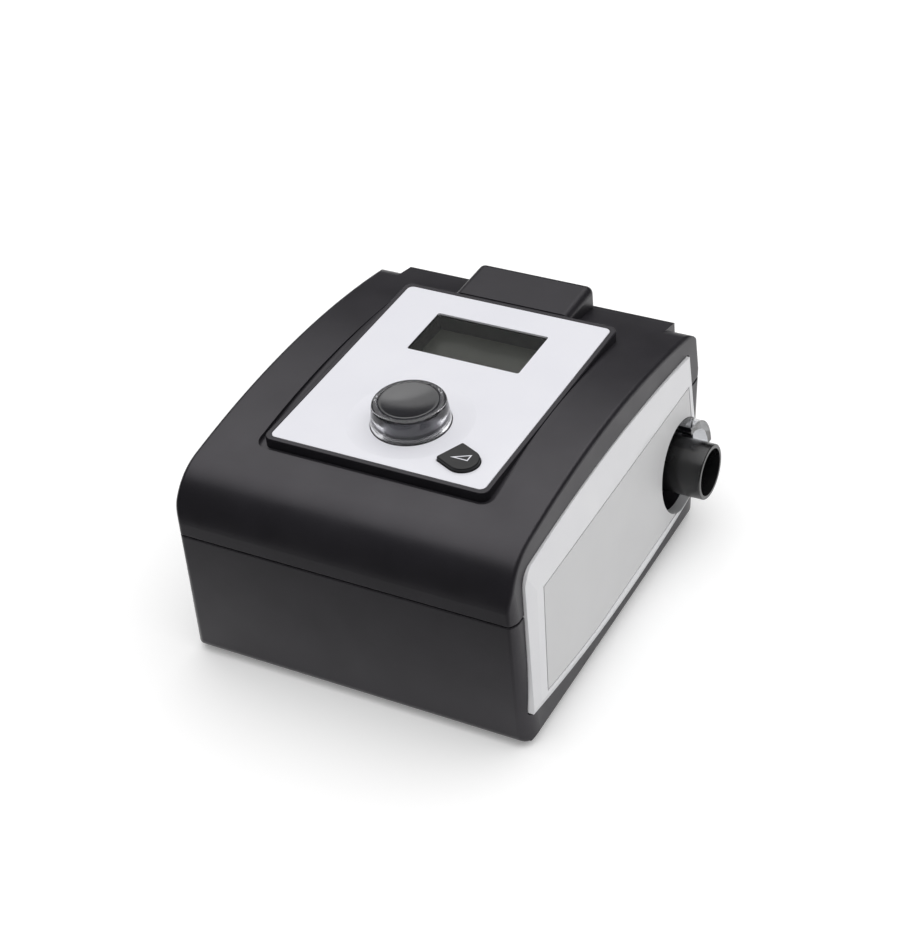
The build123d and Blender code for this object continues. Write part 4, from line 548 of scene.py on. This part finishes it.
def make_floor():
    """Pale floor that keeps the machine's shadow."""
    mesh = bpy.data.meshes.new("floor")
    form = bmesh.new()
    bmesh.ops.create_circle(form, cap_ends=True, segments=FLOOR_SEGMENTS, radius=FLOOR_RADIUS)
    form.to_mesh(mesh)
    form.free()
    floor = add_object("floor", mesh)
    finish = Finish("floor_paper", FLOOR_COLOUR, FLOOR_ROUGHNESS, Specular_IOR_Level=0.0)
    finish.set("Emission Color", WHITE)
    glow = finish.node("Math", operation="MULTIPLY")
    glow.inputs[1].default_value = FLOOR_GLOW
    finish.link(background_share(finish.tree), glow.inputs[0])
    finish.link(glow.outputs[0], finish.shader.inputs["Emission Strength"])
    paint(floor, finish.material)


def painted_reflection_finish(name):
    """Matt black card, whose colour is a painted dark reflection."""
    return Finish(name, (PAINTED_REFLECTION_BLACK, PAINTED_REFLECTION_BLACK, PAINTED_REFLECTION_BLACK), 1.0, Specular_IOR_Level=0.0)


def reflected_only(name, points, faces, material):
    """A card that only reflections see, so that its colour is a painted reflection."""
    mesh = bpy.data.meshes.new(name)
    mesh.from_pydata(points, [], faces)
    card = add_object(name, mesh)
    paint(card, material)
    for ray in HIDDEN_FROM:
        setattr(card, "visible_" + ray, False)


def make_painted_reflection_wall():
    """Black wall all round, low at the rear left and high opposite, seen only in reflections as a painted
    dark reflection.
    """
    points = []
    for index in range(WALL_COUNT):
        turn = 2 * math.pi * index / WALL_COUNT
        share = abs(math.sin((turn - WALL_TURN) / 2))
        rise = WALL_LOWEST + (WALL_HIGHEST - WALL_LOWEST) * share
        place = (WALL_RADIUS * math.sin(turn), WALL_RADIUS * math.cos(turn))
        points += [(*place, 0.0), (*place, WALL_RADIUS * math.tan(rise))]
    count = len(points)
    faces = [(i, i + 1, (i + 3) % count, (i + 2) % count) for i in range(0, count, 2)]
    reflected_only("painted_reflection_wall_card", points, faces, painted_reflection_finish("painted_reflection_black_card").material)


def make_painted_reflection_fade():
    """Card lying in front of the machine, which fades from the floor's white to black: a painted gradient
    of light, seen only in reflections.
    """
    finish = painted_reflection_finish("painted_reflection_fade_card")
    parts = finish.node("SeparateXYZ")
    finish.link(finish.place, parts.inputs["Vector"])
    # Painted reflection: light near the machine, black away from it.
    shade = finish.spread(parts.outputs["Y"], PAINTED_REFLECTION_FADE_START, PAINTED_REFLECTION_BLACK, PAINTED_REFLECTION_FADE)
    finish.link(shade, finish.shader.inputs["Base Color"])
    near, far = PAINTED_REFLECTION_FADE[0], -WALL_RADIUS
    corners = [(x, y, CARD_HEIGHT) for x, y in ((far, far), (-far, far), (-far, near), (far, near))]
    reflected_only("painted_reflection_front_card", corners, [(0, 1, 2, 3)], finish.material)


def make_key():
    """Wide soft light from above, a little from behind and from the right."""
    data = bpy.data.lights.new("key", "SUN")
    data.energy = KEY_STRENGTH
    data.angle = KEY_SPREAD
    lamp = add_object("key", data)
    lamp.location = KEY_DIRECTION
    lamp.rotation_euler = (-KEY_DIRECTION).to_track_quat("-Z", "Y").to_euler()


def make_camera():
    """Camera at the photograph's viewing angle."""
    sin_a, cos_a = math.sin(CAMERA_AZIMUTH), math.cos(CAMERA_AZIMUTH)
    sin_e, cos_e = math.sin(CAMERA_ELEVATION), math.cos(CAMERA_ELEVATION)
    forward = Vector((-sin_a * cos_e, cos_a * cos_e, -sin_e))
    level = Vector((cos_a, sin_a, 0))
    down = forward.cross(level)
    right = level * math.cos(CAMERA_ROLL) + down * math.sin(CAMERA_ROLL)
    up = right.cross(forward)
    data = bpy.data.cameras.new("camera")
    data.lens = CAMERA_LENS
    data.sensor_width = CAMERA_SENSOR
    camera = add_object("camera", data)
    turn = Matrix((right, up, -forward)).transposed().to_4x4()
    camera.matrix_world = Matrix.Translation(CAMERA_TARGET - forward * CAMERA_DISTANCE) @ turn
    scene.camera = camera


make_world()
make_floor()
make_key()
make_painted_reflection_wall()
make_painted_reflection_fade()
make_camera()
scene.view_settings.view_transform = "Standard"

for piece in [frame["nodes"][name] for name in CLEAR_NODES] + [sleeve_piece]:
    piece.visible_shadow = False
    piece.visible_diffuse = False
